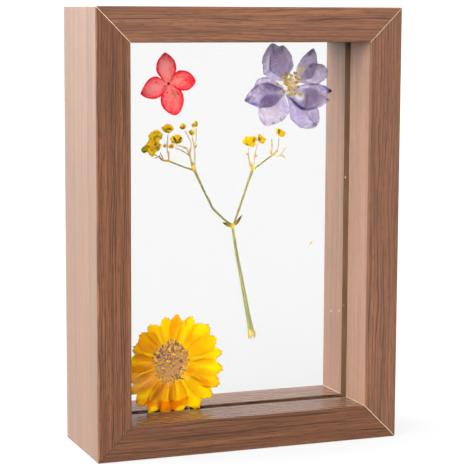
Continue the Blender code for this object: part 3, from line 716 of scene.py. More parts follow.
def sweep(shape, line, sides, half_thickness, y=0.0, ribs=0.0, tone=0.0):
    """A closed rod along the line's points (x, z, width), pressed to at most that thickness."""
    layer = shape.verts.layers.float["tone"]
    ring = bmesh.ops.create_circle(shape, cap_ends=True, segments=sides, radius=1)["verts"]
    corners = {vert: 2 * pi * index / sides for index, vert in enumerate(ring)}
    face = ring[0].link_faces[0]
    for index, (x, z, width) in enumerate(line):
        if index:
            old = list(face.verts)
            grown = bmesh.ops.extrude_face_region(shape, geom=[face])["geom"]
            face = next(item for item in grown if isinstance(item, bmesh.types.BMFace))
            corners = {new: corners[vert] for new, vert in zip(face.verts, old)}
        before, after = line[max(index - 1, 0)], line[min(index + 1, len(line) - 1)]
        run = Vector((after[0] - before[0], after[1] - before[1])).normalized()
        deep = min(width / 2, half_thickness)
        for count, (vert, corner) in enumerate(corners.items()):
            rib = 1 + ribs * (count % 2)
            aside = rib * cos(corner) * width / 2
            rise = rib * sin(corner) * deep
            vert.co = Vector((x - run.y * aside, y + rise, z + run.x * aside)) * MM
            vert[layer] = tone


cream_filament = two_tone("cream_filament", (0.82, 0.66, 0.42), (0.55, 0.33, 0.12), 0.6, 0.6, 0.4)
olive_anther = two_tone("olive_anther", (0.44, 0.34, 0.012), (0.34, 0.15, 0.015), 0.5)
KNOB_FILAMENTS = 34

chance = Random(7)
filaments = toned_shape()
anthers = toned_shape()
column_x, column_z = STAMEN_COLUMN
for index, (x, z) in enumerate(ANTHERS):
    y = -0.40 - 0.06 * (index % 3)
    bend = chance.uniform(-0.35, 0.35) / 4
    middle_x = (x + column_x) / 2 - bend * (z - column_z)
    middle_z = (z + column_z) / 2 + bend * (x - column_x)
    line = smooth_line([(column_x, column_z, 0.5), (middle_x, middle_z, 0.34), (x, z, 0.2)], 4)
    sweep(filaments, line, 6, 0.09, y, tone=chance.uniform(0.0, 0.5))
    for offset in (-0.3, 0.3)[:1 if index == 0 else 2]:
        radii = (chance.uniform(0.38, 0.52), 0.12, chance.uniform(0.6, 0.85))
        at = (x + offset, y - 0.02, z + chance.uniform(-0.3, 0.3))
        bead(anthers, at, radii, chance.uniform(0, pi), chance.uniform(0.0, 1.0) ** 2)
# The knob of short filaments in the middle
for count in range(KNOB_FILAMENTS):
    out, away = chance.uniform(0, 2 * pi), 2.4 * sqrt(chance.random())
    at = (column_x + away * cos(out), chance.uniform(-0.58, -0.45), column_z + 1.3 * away * sin(out))
    bead(filaments, at, (0.6, 0.1, 0.3), chance.uniform(1.1, 2.0), chance.uniform(0.0, 0.8))
finish_piece("stamen_filaments", filaments, cream_filament, smooth=True)
finish_piece("stamen_anthers", anthers, olive_anther, ["larkspur_stamens"], smooth=True)

# ---------------------------------------- the yellow cosmos
# Twenty yellow rays round a flat tan disc of small florets. Age has browned the rays at the
# lower left, and their folded tips at the bottom. The tone runs from yellow at 0 to tan at 1.
COSMOS_CENTRE = (-26.8, 34.0)
COSMOS_RAYS = [
    (98.3, 19, 3.2, 0.12), (82.6, 19.8, 3.1, 0.36), (64, 20.6, 3.2, 0.05), (40.5, 21.7, 5, 0.1),
    (23.8, 21.6, 3.9, 0.14), (6.6, 22.5, 3.4, 0.1), (-12, 23.1, 3.8, 0.1), (-28, 24, 4, 0.2),
    (-42.6, 24, 3.9, 0.1), (-59.4, 23.8, 4.2, 0.12), (-79.6, 22.2, 4.2, 0.24), (-97.5, 22.2, 4, 0.45),
    (-114.8, 23.2, 3.7, 0.6), (-130, 23, 3.8, 0.4), (-146, 21.3, 3.6, 0.62), (-163, 20.3, 3.9, 0.85),
    (179, 19.3, 4, 0.4), (156.5, 18, 3.9, 0.28), (138, 18.5, 4.2, 0.34), (120.2, 18.6, 3.5, 0.16),
]
RAY_ROOT = 6.0
# Bruised lines on the rays, the folded tips at the bottom, and faded places
COSMOS_MARKS = [
    ("brown", (-14.5, 34, 5.8, 0.4, 14, 0.75), (-17, 32.1, 4, 0.35, 8, 0.65), (-15, 35.4, 4, 0.25, 12, 0.5),
        (-35.6, 43.9, 5.4, 0.6, -46, 0.8), (-35.2, 40.4, 3.4, 0.5, -50, 0.6)),
    ("orange", (-20.6, 49.6, 2.2, 0.5, -80, 0.8, 0.4), (-18, 43, 3.8, 1.7, 40, 0.65),
        (-12, 37.2, 4, 0.4, 10, 0.4), (-18.6, 29.8, 2.4, 1.6, -20, 0.7), (-39, 47.2, 1.4, 1, 0, 0.7),
        (-24.8, 50, 3.4, 1.4, 76, 0.7), (-27.4, 47.6, 3.6, 0.8, 88, 0.5)),
    ("rust", (-27.4, 15.6, 7.2, 2.3, 4, 1, 0.3), (-21.2, 17.8, 3.8, 0.8, 12, 0.9, 0.4),
        (-36.8, 16.9, 2.8, 1.5, 20, 0.9, 0.3), (-31.6, 17.2, 3.6, 1.2, 2, 0.8)),
    ("tan", (-34.4, 28.8, 6.4, 0.9, 14, 0.8), (-40.6, 26.2, 6.5, 2.8, 6, 0.95, 0.25),
        (-37.2, 33.6, 3.2, 0.8, 15, 0.7), (-22, 43.6, 1.6, 1, 70, 0.5)),
    ("bright", (-38.6, 15.2, 1, 0.6, 50, 0.7), (-31.4, 49, 1.5, 3.4, -12, 0.7, 0.4),
        (-18.6, 49.4, 4, 1.6, 74, 0.8, 0.4)),
    ("brown", (-15.2, 25.6, 6, 0.7, -29, 0.8), (-39.6, 28.6, 5.4, 0.4, 8, 0.6),
        (-39, 38.4, 4.4, 0.5, -62, 0.6), (-33.4, 45, 3.4, 0.35, -62, 0.5)),
    ("orange", (-25.8, 15.2, 1.8, 0.9, 80, 0.6), (-29.6, 15, 1.7, 0.5, 84, 0.5),
        (-11.4, 24.6, 4.6, 1, -24, 0.7), (-44, 31, 1.8, 2.6, 0, 0.5), (-40.6, 42.6, 1.4, 0.8, 0, 0.5)),
    ("umber", (-27, 17.6, 1.6, 0.5, 20, 0.7), (-31.8, 15.2, 1.8, 0.4, 80, 0.6),
        (-40.4, 17, 1.6, 0.35, 50, 0.7)),
    ("bright", (-34.3, 14.6, 1.5, 1.5, -10, 0.95, 0.3), (-23, 14.2, 2.6, 0.9, 12, 0.95, 0.3),
        (-43.4, 35.2, 1.2, 2.6, 10, 0.8, 0.4)),
    ("brown", (-25.6, 22.2, 4.2, 0.6, -88, 0.8), (-27.2, 21, 5.2, 1, 82, 0.65)),
    ("tan", (-28.6, 26, 2.6, 3, -30, 0.9), (-20.6, 27, 2.2, 0.8, -20, 0.7)),
    ("red", (-11.6, 22.6, 2.4, 0.6, -12, 0.8, 0.4)),
    ("brown", (-32.6, 22, 6, 1.3, 54, 0.75, 0.35)),
    ("bright", (-30, 21, 3.4, 0.7, 70, 0.6)),
    ("tan", (-34.6, 26.4, 5, 1.4, 24, 0.75)),
    ("brown", (-38.4, 24.2, 5, 0.35, 12, 0.5)),
    ("bright", (-39, 21, 5.2, 1.8, 16, 0.85, 0.3)),
]
FRESH_YELLOW = (0.98, 0.80, 0.001)
DEEP_YELLOW = (0.98, 0.55, 0.002)
AGED_TAN = (0.96, 0.62, 0.055)
COSMOS_PAINTS = {
    "rust": (0.86, 0.32, 0.002), "bright": (0.99, 0.76, 0.003), "orange": (0.95, 0.38, 0.003),
    "brown": (0.72, 0.30, 0.014), "red": (0.74, 0.18, 0.005), "tan": (0.99, 0.62, 0.115),
    "umber": (0.30, 0.075, 0.003),
}

yellow_ray, tree, shader = start_material("yellow_ray", 0.6)
across, along, rim = petal_coordinates(tree)
place = object_place(tree)
mottle = blotches(place, 2.6, 3.0)
age = plus(attribute(tree, "tone"), rescale(mottle, 0.3, 0.7, -0.14, 0.14))
colour = mix_colours(rescale(age, 0.0, 0.42), FRESH_YELLOW, DEEP_YELLOW)
colour = mix_colours(rescale(age, 0.38, 0.85), colour, AGED_TAN)
lines = veins(across, along, 9, 0.25)
stripes = times(lines, rescale(along, 0.25, 0.8, 0.85, 0.25))
colour = mix_colours(stripes, colour, COSMOS_PAINTS["brown"])
# Painted shade: the rays darken to brown along their sides, where they overlap one another
painted_edge_shade = times(rescale(rim, 0.80, 0.96), rescale(along, 0.3, 0.85, 0.95, 0.35))
colour = mix_colours(painted_edge_shade, colour, COSMOS_PAINTS["brown"])
colour = paint_marks(colour, ragged(place, 1.2, 0.9), COSMOS_MARKS, COSMOS_PAINTS)
emboss(shader, lines, 0.08, 0.6)
show_through(shader, colour, 0.62, 0.72)

for index, (direction, reach, half_width, tone) in enumerate(COSMOS_RAYS):
    out = Vector((cos(radians(direction)), sin(radians(direction))))
    foot, tip = (Vector(COSMOS_CENTRE) + out * distance for distance in (RAY_ROOT, reach))
    side = (half_width, 0.7, 0.5)
    ray = Petal(tone, foot, tip, side, side, 1.3, 0.3, (LOWER, BACK)[index % 2])
    shape = petal_sheet(ray, 1.7 * index, frill=0.02, end=0.42, bow=0.12, tooth=0.45)
    number = f"ray_{index + 1:02d}"
    thicken(finish_piece(f"yellow_{number}", shape, yellow_ray, [f"cosmos_{number}"]))

# The disc keeps its CAD solid. Its florets stand close together, plum and yellow ones among
# the tan, and they have worn off at the lower middle.
DISC_CENTRE = (-27.3, 34.2)
DISC_RADII = (7.5, 8.7)
FLORETS = 300
PLUM_PLACES = [
    (-31.1, 41), (-31, 39.8), (-28.2, 40.6), (-26.4, 39.4), (-24.6, 41.4), (-25.4, 42.2), (-22, 41.6),
    (-21.3, 40.2), (-22.4, 39), (-32.8, 36.7), (-33.6, 37.2), (-31.8, 38.2), (-30.4, 38), (-28.4, 37.4),
    (-29.6, 35.4), (-27.6, 35.2), (-25.2, 35.4), (-31.4, 33.8), (-34.2, 34.2), (-33.4, 32.8), (-26.8, 33),
    (-23, 34), (-23.2, 31.6), (-30.4, 30.6), (-24.8, 28.2), (-23.8, 26.8), (-22.4, 26.6), (-26.4, 28),
]
YELLOW_PLACES = [
    (-33.2, 38.3), (-28.2, 39), (-28.3, 34.5), (-30.6, 32.2), (-25.6, 40.5), (-21.9, 31.8), (-22, 28),
    (-22.6, 30), (-21.2, 29), (-24.2, 25.6), (-33.6, 35.4), (-26, 37.2), (-29.4, 42),
]
YELLOW_REACH = 0.75
WORN_PLACE = (-26.6, 29.4)
WORN_REACH = 2.6
GOLDEN_TURN = pi * (3 - sqrt(5))

disc_tan, tree, shader = start_material("disc_tan", 0.85)
place = object_place(tree)
grit = blotches(place, 0.8, 4.0)
colour = mix_colours(rescale(grit, 0.40, 0.62), (0.60, 0.32, 0.070), (0.40, 0.17, 0.065))
away = from_oval(place, *DISC_CENTRE, *DISC_RADII)
colour = mix_colours(rescale(away, 0.70, 0.95), colour, (0.82, 0.42, 0.015))
set_inputs(shader, {"Base Color": colour})
emboss(shader, grit, 0.1)
coat("cosmos_disc", disc_tan)

FLORET_COLOURS = {
    "tan_florets": ((0.53, 0.300, 0.070), (0.32, 0.140, 0.050)),
    "plum_florets": ((0.30, 0.105, 0.075), (0.13, 0.060, 0.062)),
    "yellow_florets": ((0.97, 0.56, 0.010), (0.78, 0.33, 0.010)),
}
florets = {name: toned_shape() for name in FLORET_COLOURS}
chance = Random(3)
for count in range(FLORETS):
    turn = count * GOLDEN_TURN
    away = (1.02 + 0.05 * sin(5 * turn)) * sqrt((count + 0.5) / FLORETS)
    x = DISC_CENTRE[0] + DISC_RADII[0] * away * cos(turn) + chance.uniform(-0.55, 0.55)
    z = DISC_CENTRE[1] + DISC_RADII[1] * away * sin(turn) + chance.uniform(-0.55, 0.55)
    plum, yellow = (min(hypot(x - px, z - pz) for px, pz in p) for p in (PLUM_PLACES, YELLOW_PLACES))
    if yellow < YELLOW_REACH:
        name = "yellow_florets"
    elif plum < chance.uniform(0.4, 1.35):
        name = "plum_florets"
    else:
        name = "tan_florets"
    worn = hypot(x - WORN_PLACE[0], (z - WORN_PLACE[1]) * 0.8) < WORN_REACH
    if worn and name == "tan_florets" and chance.random() < 0.75:
        continue
    radii = (chance.uniform(0.30, 0.48), 0.12, chance.uniform(0.42, 0.66))
    y = -0.44 - 0.13 * max(0, 1 - away**2) + chance.uniform(-0.03, 0.03)
    bead(florets[name], (x, y, z), radii, pi / 2 - turn + chance.uniform(-0.7, 0.7), chance.random())
for name, shape in florets.items():
    material = two_tone(name, *FLORET_COLOURS[name], 0.35)
    finish_piece(f"disc_{name}", shape, material, smooth=True)

# ---------------------------------------- the branching spray
# A pressed stem that forks into two branches with fine twigs. Small bracts sit at the forks,
# and most twigs end in a head of tiny yellow florets. Lines of points are (x, z, width).
STEM = [
    (-0.35, 89.5, 1.9), (-0.25, 88.5, 1.3), (0, 87, 1.3), (0.8, 82, 1.3), (2, 75.5, 1.45),
    (3.55, 68, 1.6), (5.05, 60.5, 1.75), (6.35, 54, 1.95), (7.4, 48.5, 2.3), (8.1, 45, 2.8),
    (8.5, 42.6, 3.1),
]
LEFT_BRANCH = [
    [(-1.05, 90.15, 1), (-2.6, 91.1, 1), (-5, 93.1, 1), (-8.3, 96.2, 1), (-9.3, 97.4, 1), (-11, 100.8, 1),
        (-13.6, 105.7, 1), (-17, 113, 1.35)],
    [(-16.9, 112.8, 1), (-20, 113.8, 0.8), (-24, 115.3, 0.8), (-28, 116.9, 0.8), (-30.2, 117.2, 0.8),
        (-31.5, 118, 0.75), (-32.3, 119.3, 0.65)],
    [(-28.1, 116.8, 0.75), (-28.2, 119.5, 0.75), (-28.7, 121.5, 0.65), (-28.5, 127.7, 0.55)],
    [(-30.2, 117.1, 0.6), (-31, 119, 0.55), (-31.7, 120.6, 0.55)],
    [(-16.9, 112.8, 1.35), (-18, 115.6, 1.35), (-19, 118.6, 0.8), (-19.1, 119.6, 0.8),
        (-18.7, 121.5, 0.65), (-18.5, 123.8, 0.65), (-19.6, 126.4, 0.6), (-21.2, 129.2, 0.55)],
    [(-17, 112.9, 0.7), (-16.9, 118, 0.7), (-17.1, 122.6, 0.8), (-16.5, 125, 0.6), (-16.3, 130.3, 0.55)],
    [(-17.1, 122.3, 0.6), (-18.1, 126.6, 0.55)],
    [(-19.1, 119.3, 0.7), (-20.6, 122, 0.7), (-23, 122.8, 0.55), (-24.8, 123.3, 0.55)],
    [(-19, 118.6, 0.6), (-21.6, 120.6, 0.6), (-25.3, 122.2, 0.55)],
]
RIGHT_BRANCH = [
    [(0.35, 90, 1), (1.2, 92.6, 1), (3.8, 99.8, 1), (6.2, 106.5, 1), (8.5, 112.7, 1.35)],
    [(8.5, 112.4, 1.35), (7.5, 114.2, 1.35), (6.9, 116, 0.8), (6.5, 117.6, 0.75), (6.6, 121.7, 0.55)],
    [(8.5, 112.5, 1), (8.9, 115, 0.7), (9.3, 117.6, 0.75), (9.9, 120.5, 0.55), (10.5, 122.9, 0.55)],
    [(8.6, 112.4, 0.8), (12, 114.7, 0.8), (15, 116.8, 0.8), (17, 118.1, 0.8), (19.2, 119.7, 0.75)],
    [(16.8, 117.9, 0.75), (16.7, 120, 0.8), (17, 122, 0.6), (16.9, 124.8, 0.55)],
    [(19.1, 119.5, 0.6), (19.8, 122.5, 0.55), (20, 125.6, 0.55)],
    [(17.9, 118.5, 0.65), (20.6, 118, 0.65), (23.3, 121.8, 0.55)],
    [(20.5, 118.1, 0.6), (22.8, 116.6, 0.55)],
]

STEM_MARKS = [
    ("gold", (-17, 122.6, 1.5, 0.8, 90, 0.7), (-20.8, 121.9, 1.2, 0.8, 40, 0.5),
        (9.2, 117.6, 1.4, 0.8, 80, 0.6), (16.8, 119, 2, 0.8, 90, 0.6), (18.6, 119.2, 1.6, 0.8, 30, 0.6),
        (6.6, 117.6, 1.2, 0.7, 90, 0.5)),
    ("yellow", (-17.3, 113.3, 1, 0.9, 0, 0.9), (8.4, 112.9, 1, 0.9, 0, 0.9), (-0.3, 89.4, 1.5, 1, 0, 0.9),
        (0.4, 86, 2.6, 0.25, -80, 0.5)),
    ("rust", (-17.1, 113.4, 1.1, 0.4, -60, 0.7), (-30.4, 117.2, 2.2, 0.9, 10, 0.8)),
    ("gold", (-28.2, 118.6, 2.4, 0.8, 88, 0.8), (7.6, 114.4, 1.8, 0.8, -60, 0.7)),
    ("straw", (8.3, 43, 2.2, 2.6, 0, 0.85), (5.2, 60, 13, 0.22, -79, 0.55)),
    ("yellow", (-28.3, 117, 0.9, 0.7, 0, 0.6), (7.6, 44.6, 1.6, 0.5, -80, 0.8)),
    ("dark", (2.6, 72, 9, 0.25, -78, 0.5), (7.2, 50, 6, 0.3, -82, 0.5)),
    ("olive", (-17.7, 114.8, 1.9, 0.8, -62, 0.8)),
    ("rust", (-19, 118.4, 1.6, 0.6, 70, 0.5), (8.3, 112.6, 0.8, 0.4, 60, 0.5)),
]
STEM_PAINTS = {
    "yellow": (0.92, 0.60, 0.008), "rust": (0.50, 0.17, 0.03), "olive": (0.26, 0.19, 0.010),
    "gold": (0.66, 0.46, 0.020), "straw": (0.62, 0.44, 0.14), "dark": (0.13, 0.12, 0.02),
}


def plant_skin(name, dark, pale):
    """The stem's skin: green fibres along it, pale where the tone is high, and coloured joints."""
    material, tree, shader = start_material(name, 0.5)
    place = object_place(tree)
    lean = add_node("Mapping", {"Vector": place, "Rotation": (0, radians(-11), 0)}).outputs[0]
    fibres = blotches(lean, (0.30, 0.30, 7), 3.0)
    colour = mix_colours(rescale(fibres, 0.38, 0.62), pale, dark)
    colour = mix_colours(attribute(tree, "tone"), colour, (0.84, 0.66, 0.42))
    colour = paint_marks(colour, ragged(place, 0.8, 0.4), STEM_MARKS, STEM_PAINTS)
    set_inputs(shader, {"Base Color": colour})
    emboss(shader, fibres, 0.12, 0.7)
    return material


stem_skin = plant_skin("stem_skin", (0.16, 0.155, 0.028), (0.34, 0.33, 0.100))
shape = toned_shape()
sweep(shape, smooth_line(STEM, 5), 20, 0.36, ribs=-0.06)
# Torn fibres at the foot of the stem
TORN_FIBRES = 8
chance = Random(11)
for count in range(TORN_FIBRES):
    x = 7.0 + 0.4 * count
    end = (x + chance.uniform(-0.3, 0.4), chance.uniform(41.0, 42.0), 0.15)
    line = [(x, 44.6, 0.7), (x + 0.1, 42.6, 0.55), end]
    sweep(shape, line, 6, 0.18, chance.uniform(-0.15, 0.15))
finish_piece("flattened_stem", shape, stem_skin, ["spray_stem"], smooth=True)

twig_skin = plant_skin("twig_skin", (0.20, 0.19, 0.030), (0.33, 0.31, 0.060))
for side, lines, green in (("left", LEFT_BRANCH, (0, 1)), ("right", RIGHT_BRANCH, (0, 3))):
    shape = toned_shape()
    for index, points in enumerate(lines):
        sweep(shape, smooth_line(points, 5), 8, 0.38, tone=0.1 if index in green else 0.7)
    branch = f"{side}_branch"
    finish_piece(f"{branch}_and_twigs", shape, twig_skin, [f"spray_{branch}"], smooth=True)

# Bracts: a green one on each side of the main fork, and tiny straw-coloured ones above.
BRACTS = {
    "left_bract": (0, (-0.9, 89.2), (-4.9, 91.0), (0.75, 0.35, 1.0), (0.75, 0.3, 1.0), 1.0, 0.4, FRONT),
    "right_bract": (0, (0.6, 89.6), (3.7, 93.8), (0.6, 0.35, 1.0), (0.65, 0.3, 1.0), 1.0, 0.4, FRONT),
}
# The small ones are (x, z, direction, length)
SMALL_BRACTS = [
    (-32.4, 118.9, 200, 1.9), (-33, 119.4, 170, 1.2), (6.6, 118.6, 160, 1.3), (9.3, 117.8, 20, 1.3),
    (18.6, 119.4, 60, 1.7), (17, 121.6, 100, 1.2), (21.4, 118, -30, 1.4), (-17.3, 113.2, 150, 1.6),
    (-16.9, 122, 60, 1.5), (-19, 119, 140, 1.3), (8.4, 113.2, 110, 1.3), (-20.9, 122.2, 200, 1.1),
    (16.8, 118.4, 120, 1.3), (-28.2, 119.8, 80, 1.1), (-21.4, 120.4, 160, 1.2), (-19.2, 121, 60, 1.2),
]
fork_bract, tree, shader = start_material("fork_bract", 0.6)
across, along, _ = petal_coordinates(tree)
lines = veins(across, along, 5, 0.2)
colour = mix_colours(rescale(along, 0.15, 0.6), (0.62, 0.40, 0.01), (0.14, 0.12, 0.02))
colour = mix_colours(times(lines, 0.4), colour, (0.09, 0.07, 0.02))
show_through(shader, colour, 0.3)
for seed, (part, petal) in enumerate(BRACTS.items()):
    shape = petal_sheet(Petal(*petal), seed, frill=0.05)
    thicken(finish_piece(f"fork_{part}", shape, fork_bract, [f"spray_{part}"]))

straw_bract = two_tone("straw_bract", (0.66, 0.42, 0.17), (0.60, 0.27, 0.08), 0.8, 0.7, 0.4)
shape = toned_shape()
chance = Random(5)
for x, z, direction, length in SMALL_BRACTS:
    out = radians(direction)
    at = (x + 0.5 * length * cos(out), -0.36, z + 0.5 * length * sin(out))
    bead(shape, at, (0.6 * length, 0.07, 0.28), -out, chance.random())
finish_piece("straw_bracts", shape, straw_bract, smooth=True)

# Swollen yellow joints where the branches divide: (x, z, half length, half width, direction).
JOINTS = [
    (-17.4, 114, 1.7, 0.95, 112), (8.3, 113.2, 1.35, 0.8, 112), (-0.4, 89.6, 1, 0.75, 100),
    (-28.2, 117.1, 0.7, 0.5, 60), (-30.4, 117.3, 0.8, 0.45, 160), (16.9, 118.2, 0.7, 0.5, 40),
    (-19.1, 119, 0.7, 0.45, 110), (-17, 122.4, 0.7, 0.42, 90), (19.2, 119.6, 0.6, 0.42, 40),
]
joint_gold = two_tone("joint_gold", (0.80, 0.50, 0.006), (0.45, 0.19, 0.010), 0.8, 0.6)
shape = toned_shape()
for x, z, long, wide, direction in JOINTS:
    bead(shape, (x, 0, z), (long, 0.47, wide), -radians(direction), chance.random() / 2)
finish_piece("swollen_joints", shape, joint_gold, smooth=True)

# The flower heads: the CAD pads, softened, with tiny florets pressed into both faces.
HEADS = ["cluster"] + [f"left_head_{n}" for n in range(1, 8)] + [f"right_head_{n}" for n in range(1, 4)]
FLORETS_PER_AREA = 3.4
HEAD_MARKS = [
    ("green", (-22, 130.3, 0.8, 0.9, 0, 0.9), (-18.6, 128.2, 0.7, 1.2, 20, 0.8),
        (-38.8, 122, 2, 1.7, 0, 0.5), (5.8, 122.6, 1.2, 0.6, -60, 0.75), (8.6, 124.6, 1.4, 0.6, 60, 0.7),
        (17.4, 127.6, 0.6, 1.4, 0, 0.8), (23.6, 123, 0.8, 0.8, 0, 0.7)),
    ("black", (-27.8, 130, 0.8, 0.6, 0, 0.95), (-25.7, 125.6, 1.6, 0.55, -62, 0.9),
        (-23.3, 125.9, 1.5, 0.5, 55, 0.9), (-39.4, 122.8, 1, 0.5, 30, 0.8),
        (-38.2, 121, 1.1, 0.5, -20, 0.8), (-39.9, 121.3, 0.6, 0.5, 60, 0.6), (11.2, 125, 0.7, 0.9, 0, 0.7),
        (19.9, 128, 0.6, 1.4, 0, 0.7)),
    ("rust", (-27.4, 122.9, 0.8, 0.8, 0, 0.6), (-22.8, 130.6, 0.6, 0.8, 0, 0.6),
        (-17.8, 131.3, 0.8, 0.6, 0, 0.8)),
    ("green", (-28.7, 130, 1, 0.7, 0, 0.8), (-24.4, 124.6, 1.8, 0.8, 10, 0.7)),
    ("rust", (-29.8, 129.7, 1.6, 0.5, -50, 0.6), (-26.7, 124.6, 1, 0.7, -40, 0.7)),
    ("green", (-29, 128.9, 1.4, 0.6, -30, 0.6), (-27.2, 122.6, 1.2, 0.5, 0, 0.6)),
    ("rust", (-27.2, 128.9, 1, 0.5, 50, 0.5), (-28.5, 131, 1.6, 0.4, 0, 0.4),
        (-29.8, 123, 0.9, 1.2, 0, 0.6)),
    ("grey", (-16.4, 131.9, 0.6, 0.8, 0, 0.7), (-33.2, 127, 1.4, 0.8, 10, 0.7)),
    ("green", (-16.2, 131, 0.9, 0.5, 0, 0.6)),
    ("plum", (-37, 122.9, 0.6, 0.6, 0, 0.85)),
    ("rust", (-34.2, 125.4, 0.7, 2.2, 8, 0.7)),
    ("plum", (-33.9, 123.9, 1.2, 0.7, 30, 0.7)),
    ("grey", (-33.2, 122.2, 1.4, 0.9, -20, 0.75)),
    ("green", (-32.4, 123.4, 1.6, 0.5, 60, 0.5), (-32, 121, 0.9, 0.5, 0, 0.6)),
    ("rust", (-34.9, 121.9, 1, 1.2, 0, 0.4), (-31.6, 126.4, 0.7, 1.6, -20, 0.4)),
]
HEAD_PAINTS = {
    "black": (0.035, 0.040, 0.008), "green": (0.170, 0.165, 0.010), "rust": (0.44, 0.15, 0.008),
    "grey": (0.20, 0.18, 0.060), "plum": (0.20, 0.055, 0.030),
}
head_gold, tree, shader = start_material("head_gold", 0.75)
place = object_place(tree)
lumps = blotches(place, 0.9, 3.0)
colour = mix_colours(rescale(lumps, 0.38, 0.62), (0.99, 0.74, 0.014), (0.93, 0.50, 0.008))
colour = paint_marks(colour, ragged(place, 0.6, 0.7), HEAD_MARKS, HEAD_PAINTS, 0.3)
emboss(shader, lumps, 0.12, 0.7)
show_through(shader, colour, 0.3, 0.8)
head_florets = toned_shape()
chance = Random(19)


def inside(outline, x, z):
    """True if the point is within the closed outline."""
    crossings = 0
    for (ax, az), (bx, bz) in zip(outline, outline[1:] + outline[:1]):
        if (az > z) != (bz > z) and x < ax + (z - az) / (bz - az) * (bx - ax):
            crossings += 1
    return crossings % 2 == 1


for part in HEADS:
    shape = bmesh.new()
    shape.from_mesh(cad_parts[f"spray_{part}"].data)
    bmesh.ops.remove_doubles(shape, verts=shape.verts, dist=0.001 * MM)
    bmesh.ops.dissolve_limit(shape, angle_limit=radians(3), verts=shape.verts, edges=shape.edges)
    front = min(shape.faces, key=lambda f: f.calc_center_median().y)
    outline = [(v.co.x / MM, v.co.z / MM) for v in front.verts]
    flats = [f for f in shape.faces if abs(f.normal.y) > 0.99]
    bmesh.ops.inset_individual(shape, faces=flats, thickness=0.15 * MM)
    pad = finish_piece(f"pressed_{part}", shape, head_gold, [f"spray_{part}"], smooth=True)
    soften = pad.modifiers.new("soften", "SUBSURF")
    soften.levels = soften.render_levels = 2
    for corner, (x, z) in enumerate(outline):
        # Petal tips round the rim
        nx, nz = outline[(corner + 1) % len(outline)]
        for share in (0.15, 0.65):
            at = (x + (nx - x) * share, chance.uniform(-0.25, 0.25), z + (nz - z) * share)
            radii = (chance.uniform(0.42, 0.6), 0.2, chance.uniform(0.3, 0.45))
            bead(head_florets, at, radii, chance.uniform(0, pi))
    xs, zs = zip(*outline)
    area = (max(xs) - min(xs)) * (max(zs) - min(zs))
    for count in range(int(6 + FLORETS_PER_AREA * area)):
        x, z = chance.uniform(min(xs), max(xs)), chance.uniform(min(zs), max(zs))
        if inside(outline, x, z):
            radii = (chance.uniform(0.28, 0.55), 0.16, chance.uniform(0.2, 0.36))
            bead(head_florets, (x, (-1) ** count * 0.42, z), radii, chance.uniform(0, pi))
finish_piece("head_florets", head_florets, head_gold, smooth=True)

# ---------------------------------------- a loose fleck
# A flake of petal that has come off and lies by itself between the panes, at the right.
pale_flake = two_tone("pale_flake", (0.95, 0.76, 0.36), (0.86, 0.55, 0.12), 0.5, 0.7, 0.4)
shape = toned_shape()
bead(shape, (34.9, 0, 80.8), (0.55, 0.05, 1.1), radians(25), 0.3)
finish_piece("loose_fleck", shape, pale_flake, smooth=True)

# Pale dust of the cut board, on the right rail behind the glass and between the panes.
BOARD_DUST = [
    (50.95, 14.7, 48.4, 0.25), (50.95, 6.2, 49.9, 0.23), (50.6, 0, 107.9, 0.4), (50.6, 0, 53.2, 0.25),
]
pale_dust = two_tone("pale_dust", (0.92, 0.73, 0.48), (0.80, 0.56, 0.30), 0.5, 0.8)
shape = toned_shape()
for *place, size in BOARD_DUST:
    bead(shape, place, (0.5 * size, size, size), 0, 0.3)
finish_piece("board_dust", shape, pale_dust, smooth=True)

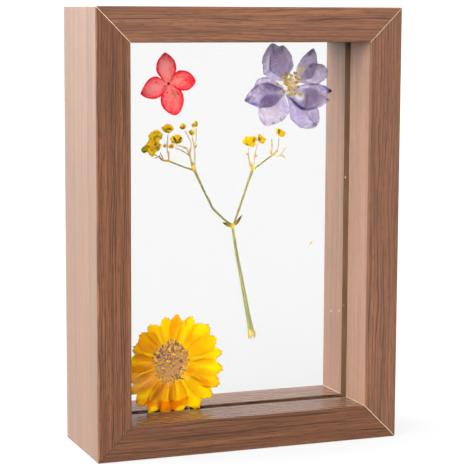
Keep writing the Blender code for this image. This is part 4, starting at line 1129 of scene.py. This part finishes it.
# ---------------------------------------- floor, light and camera
# A plain pale light table in a white room. The room has four large soft lights: a wide one at
# the front left, two at the back left, one above the other, and one at the back right.
# The azimuth, in degrees, runs from the back (+Y) round by the left (-X). Within `core` degrees
# of its middle a light is full, and at `edge` it has faded out.
RoomLight = namedtuple("RoomLight", "azimuth elevation core edge radiance")
ROOM_LIGHTS = [
    RoomLight(130, 7, 14, 54, 14.9),
    RoomLight(52, 28, 24, 42, 10.2),
    RoomLight(63, 44, 11, 20, 13.5),
    RoomLight(-59, 6, 18, 31, 14.0),
]
ROOM_RADIANCE = 0.9
BACKDROP_RADIANCE = 1.155
FLOOR_REACH = 6
FLOOR_DROP = 0.0002

floor_white, _, shader = start_material("floor_white", 0.9)
set_inputs(shader, {"Base Color": (0.07, 0.07, 0.07, 1), "Specular IOR Level": 0.0})
set_inputs(shader, {"Emission Color": (1, 1, 1, 1), "Emission Strength": 0.81})
shape = bmesh.new()
bmesh.ops.create_grid(shape, x_segments=1, y_segments=1, size=FLOOR_REACH)
floor = add_object("floor", shape, floor_white)
floor.location = (0, 0, -FLOOR_DROP)

world = bpy.data.worlds.new("white_room")
world.use_nodes = True
tree = world.node_tree
outlook = add_node("TexCoord", tree=tree).outputs["Generated"]
depth = add_node("SeparateXYZ", {0: outlook}).outputs["Y"]
radiance = rescale(depth, 0.2, 0.7, ROOM_RADIANCE, BACKDROP_RADIANCE)
for light in ROOM_LIGHTS:
    turn, rise = radians(light.azimuth), radians(light.elevation)
    towards = (-sin(turn) * cos(rise), cos(turn) * cos(rise), sin(rise))
    facing = vector_step("DOT_PRODUCT", {0: outlook, 1: towards})["Value"]
    glow = rescale(facing, cos(radians(light.edge)), cos(radians(light.core)), 0.0, light.radiance)
    radiance = plus(radiance, glow)
set_inputs(tree.nodes["Background"], {"Color": (1, 1, 1, 1), "Strength": radiance})
bpy.context.scene.world = world

CAMERA_PLACE = (-0.25192, -0.65353, 0.17835)
CAMERA_AHEAD = (0.35799836, 0.92441165, -0.13153049)
CAMERA_ROLL = 0.282
CAMERA_LENS = 130.864
camera_data = bpy.data.cameras.new("camera")
camera_data.sensor_width = 36
camera_data.lens = CAMERA_LENS
camera_data.clip_start = 0.01
camera = bpy.data.objects.new("camera", camera_data)
camera.location = CAMERA_PLACE
camera.rotation_mode = "QUATERNION"
upright = Vector(CAMERA_AHEAD).to_track_quat("-Z", "Y")
camera.rotation_quaternion = upright @ Quaternion((0, 0, 1), radians(CAMERA_ROLL))
bpy.context.scene.collection.objects.link(camera)
bpy.context.scene.camera = camera
bpy.context.scene.view_settings.view_transform = "Standard"

bpy.context.view_layer.update()
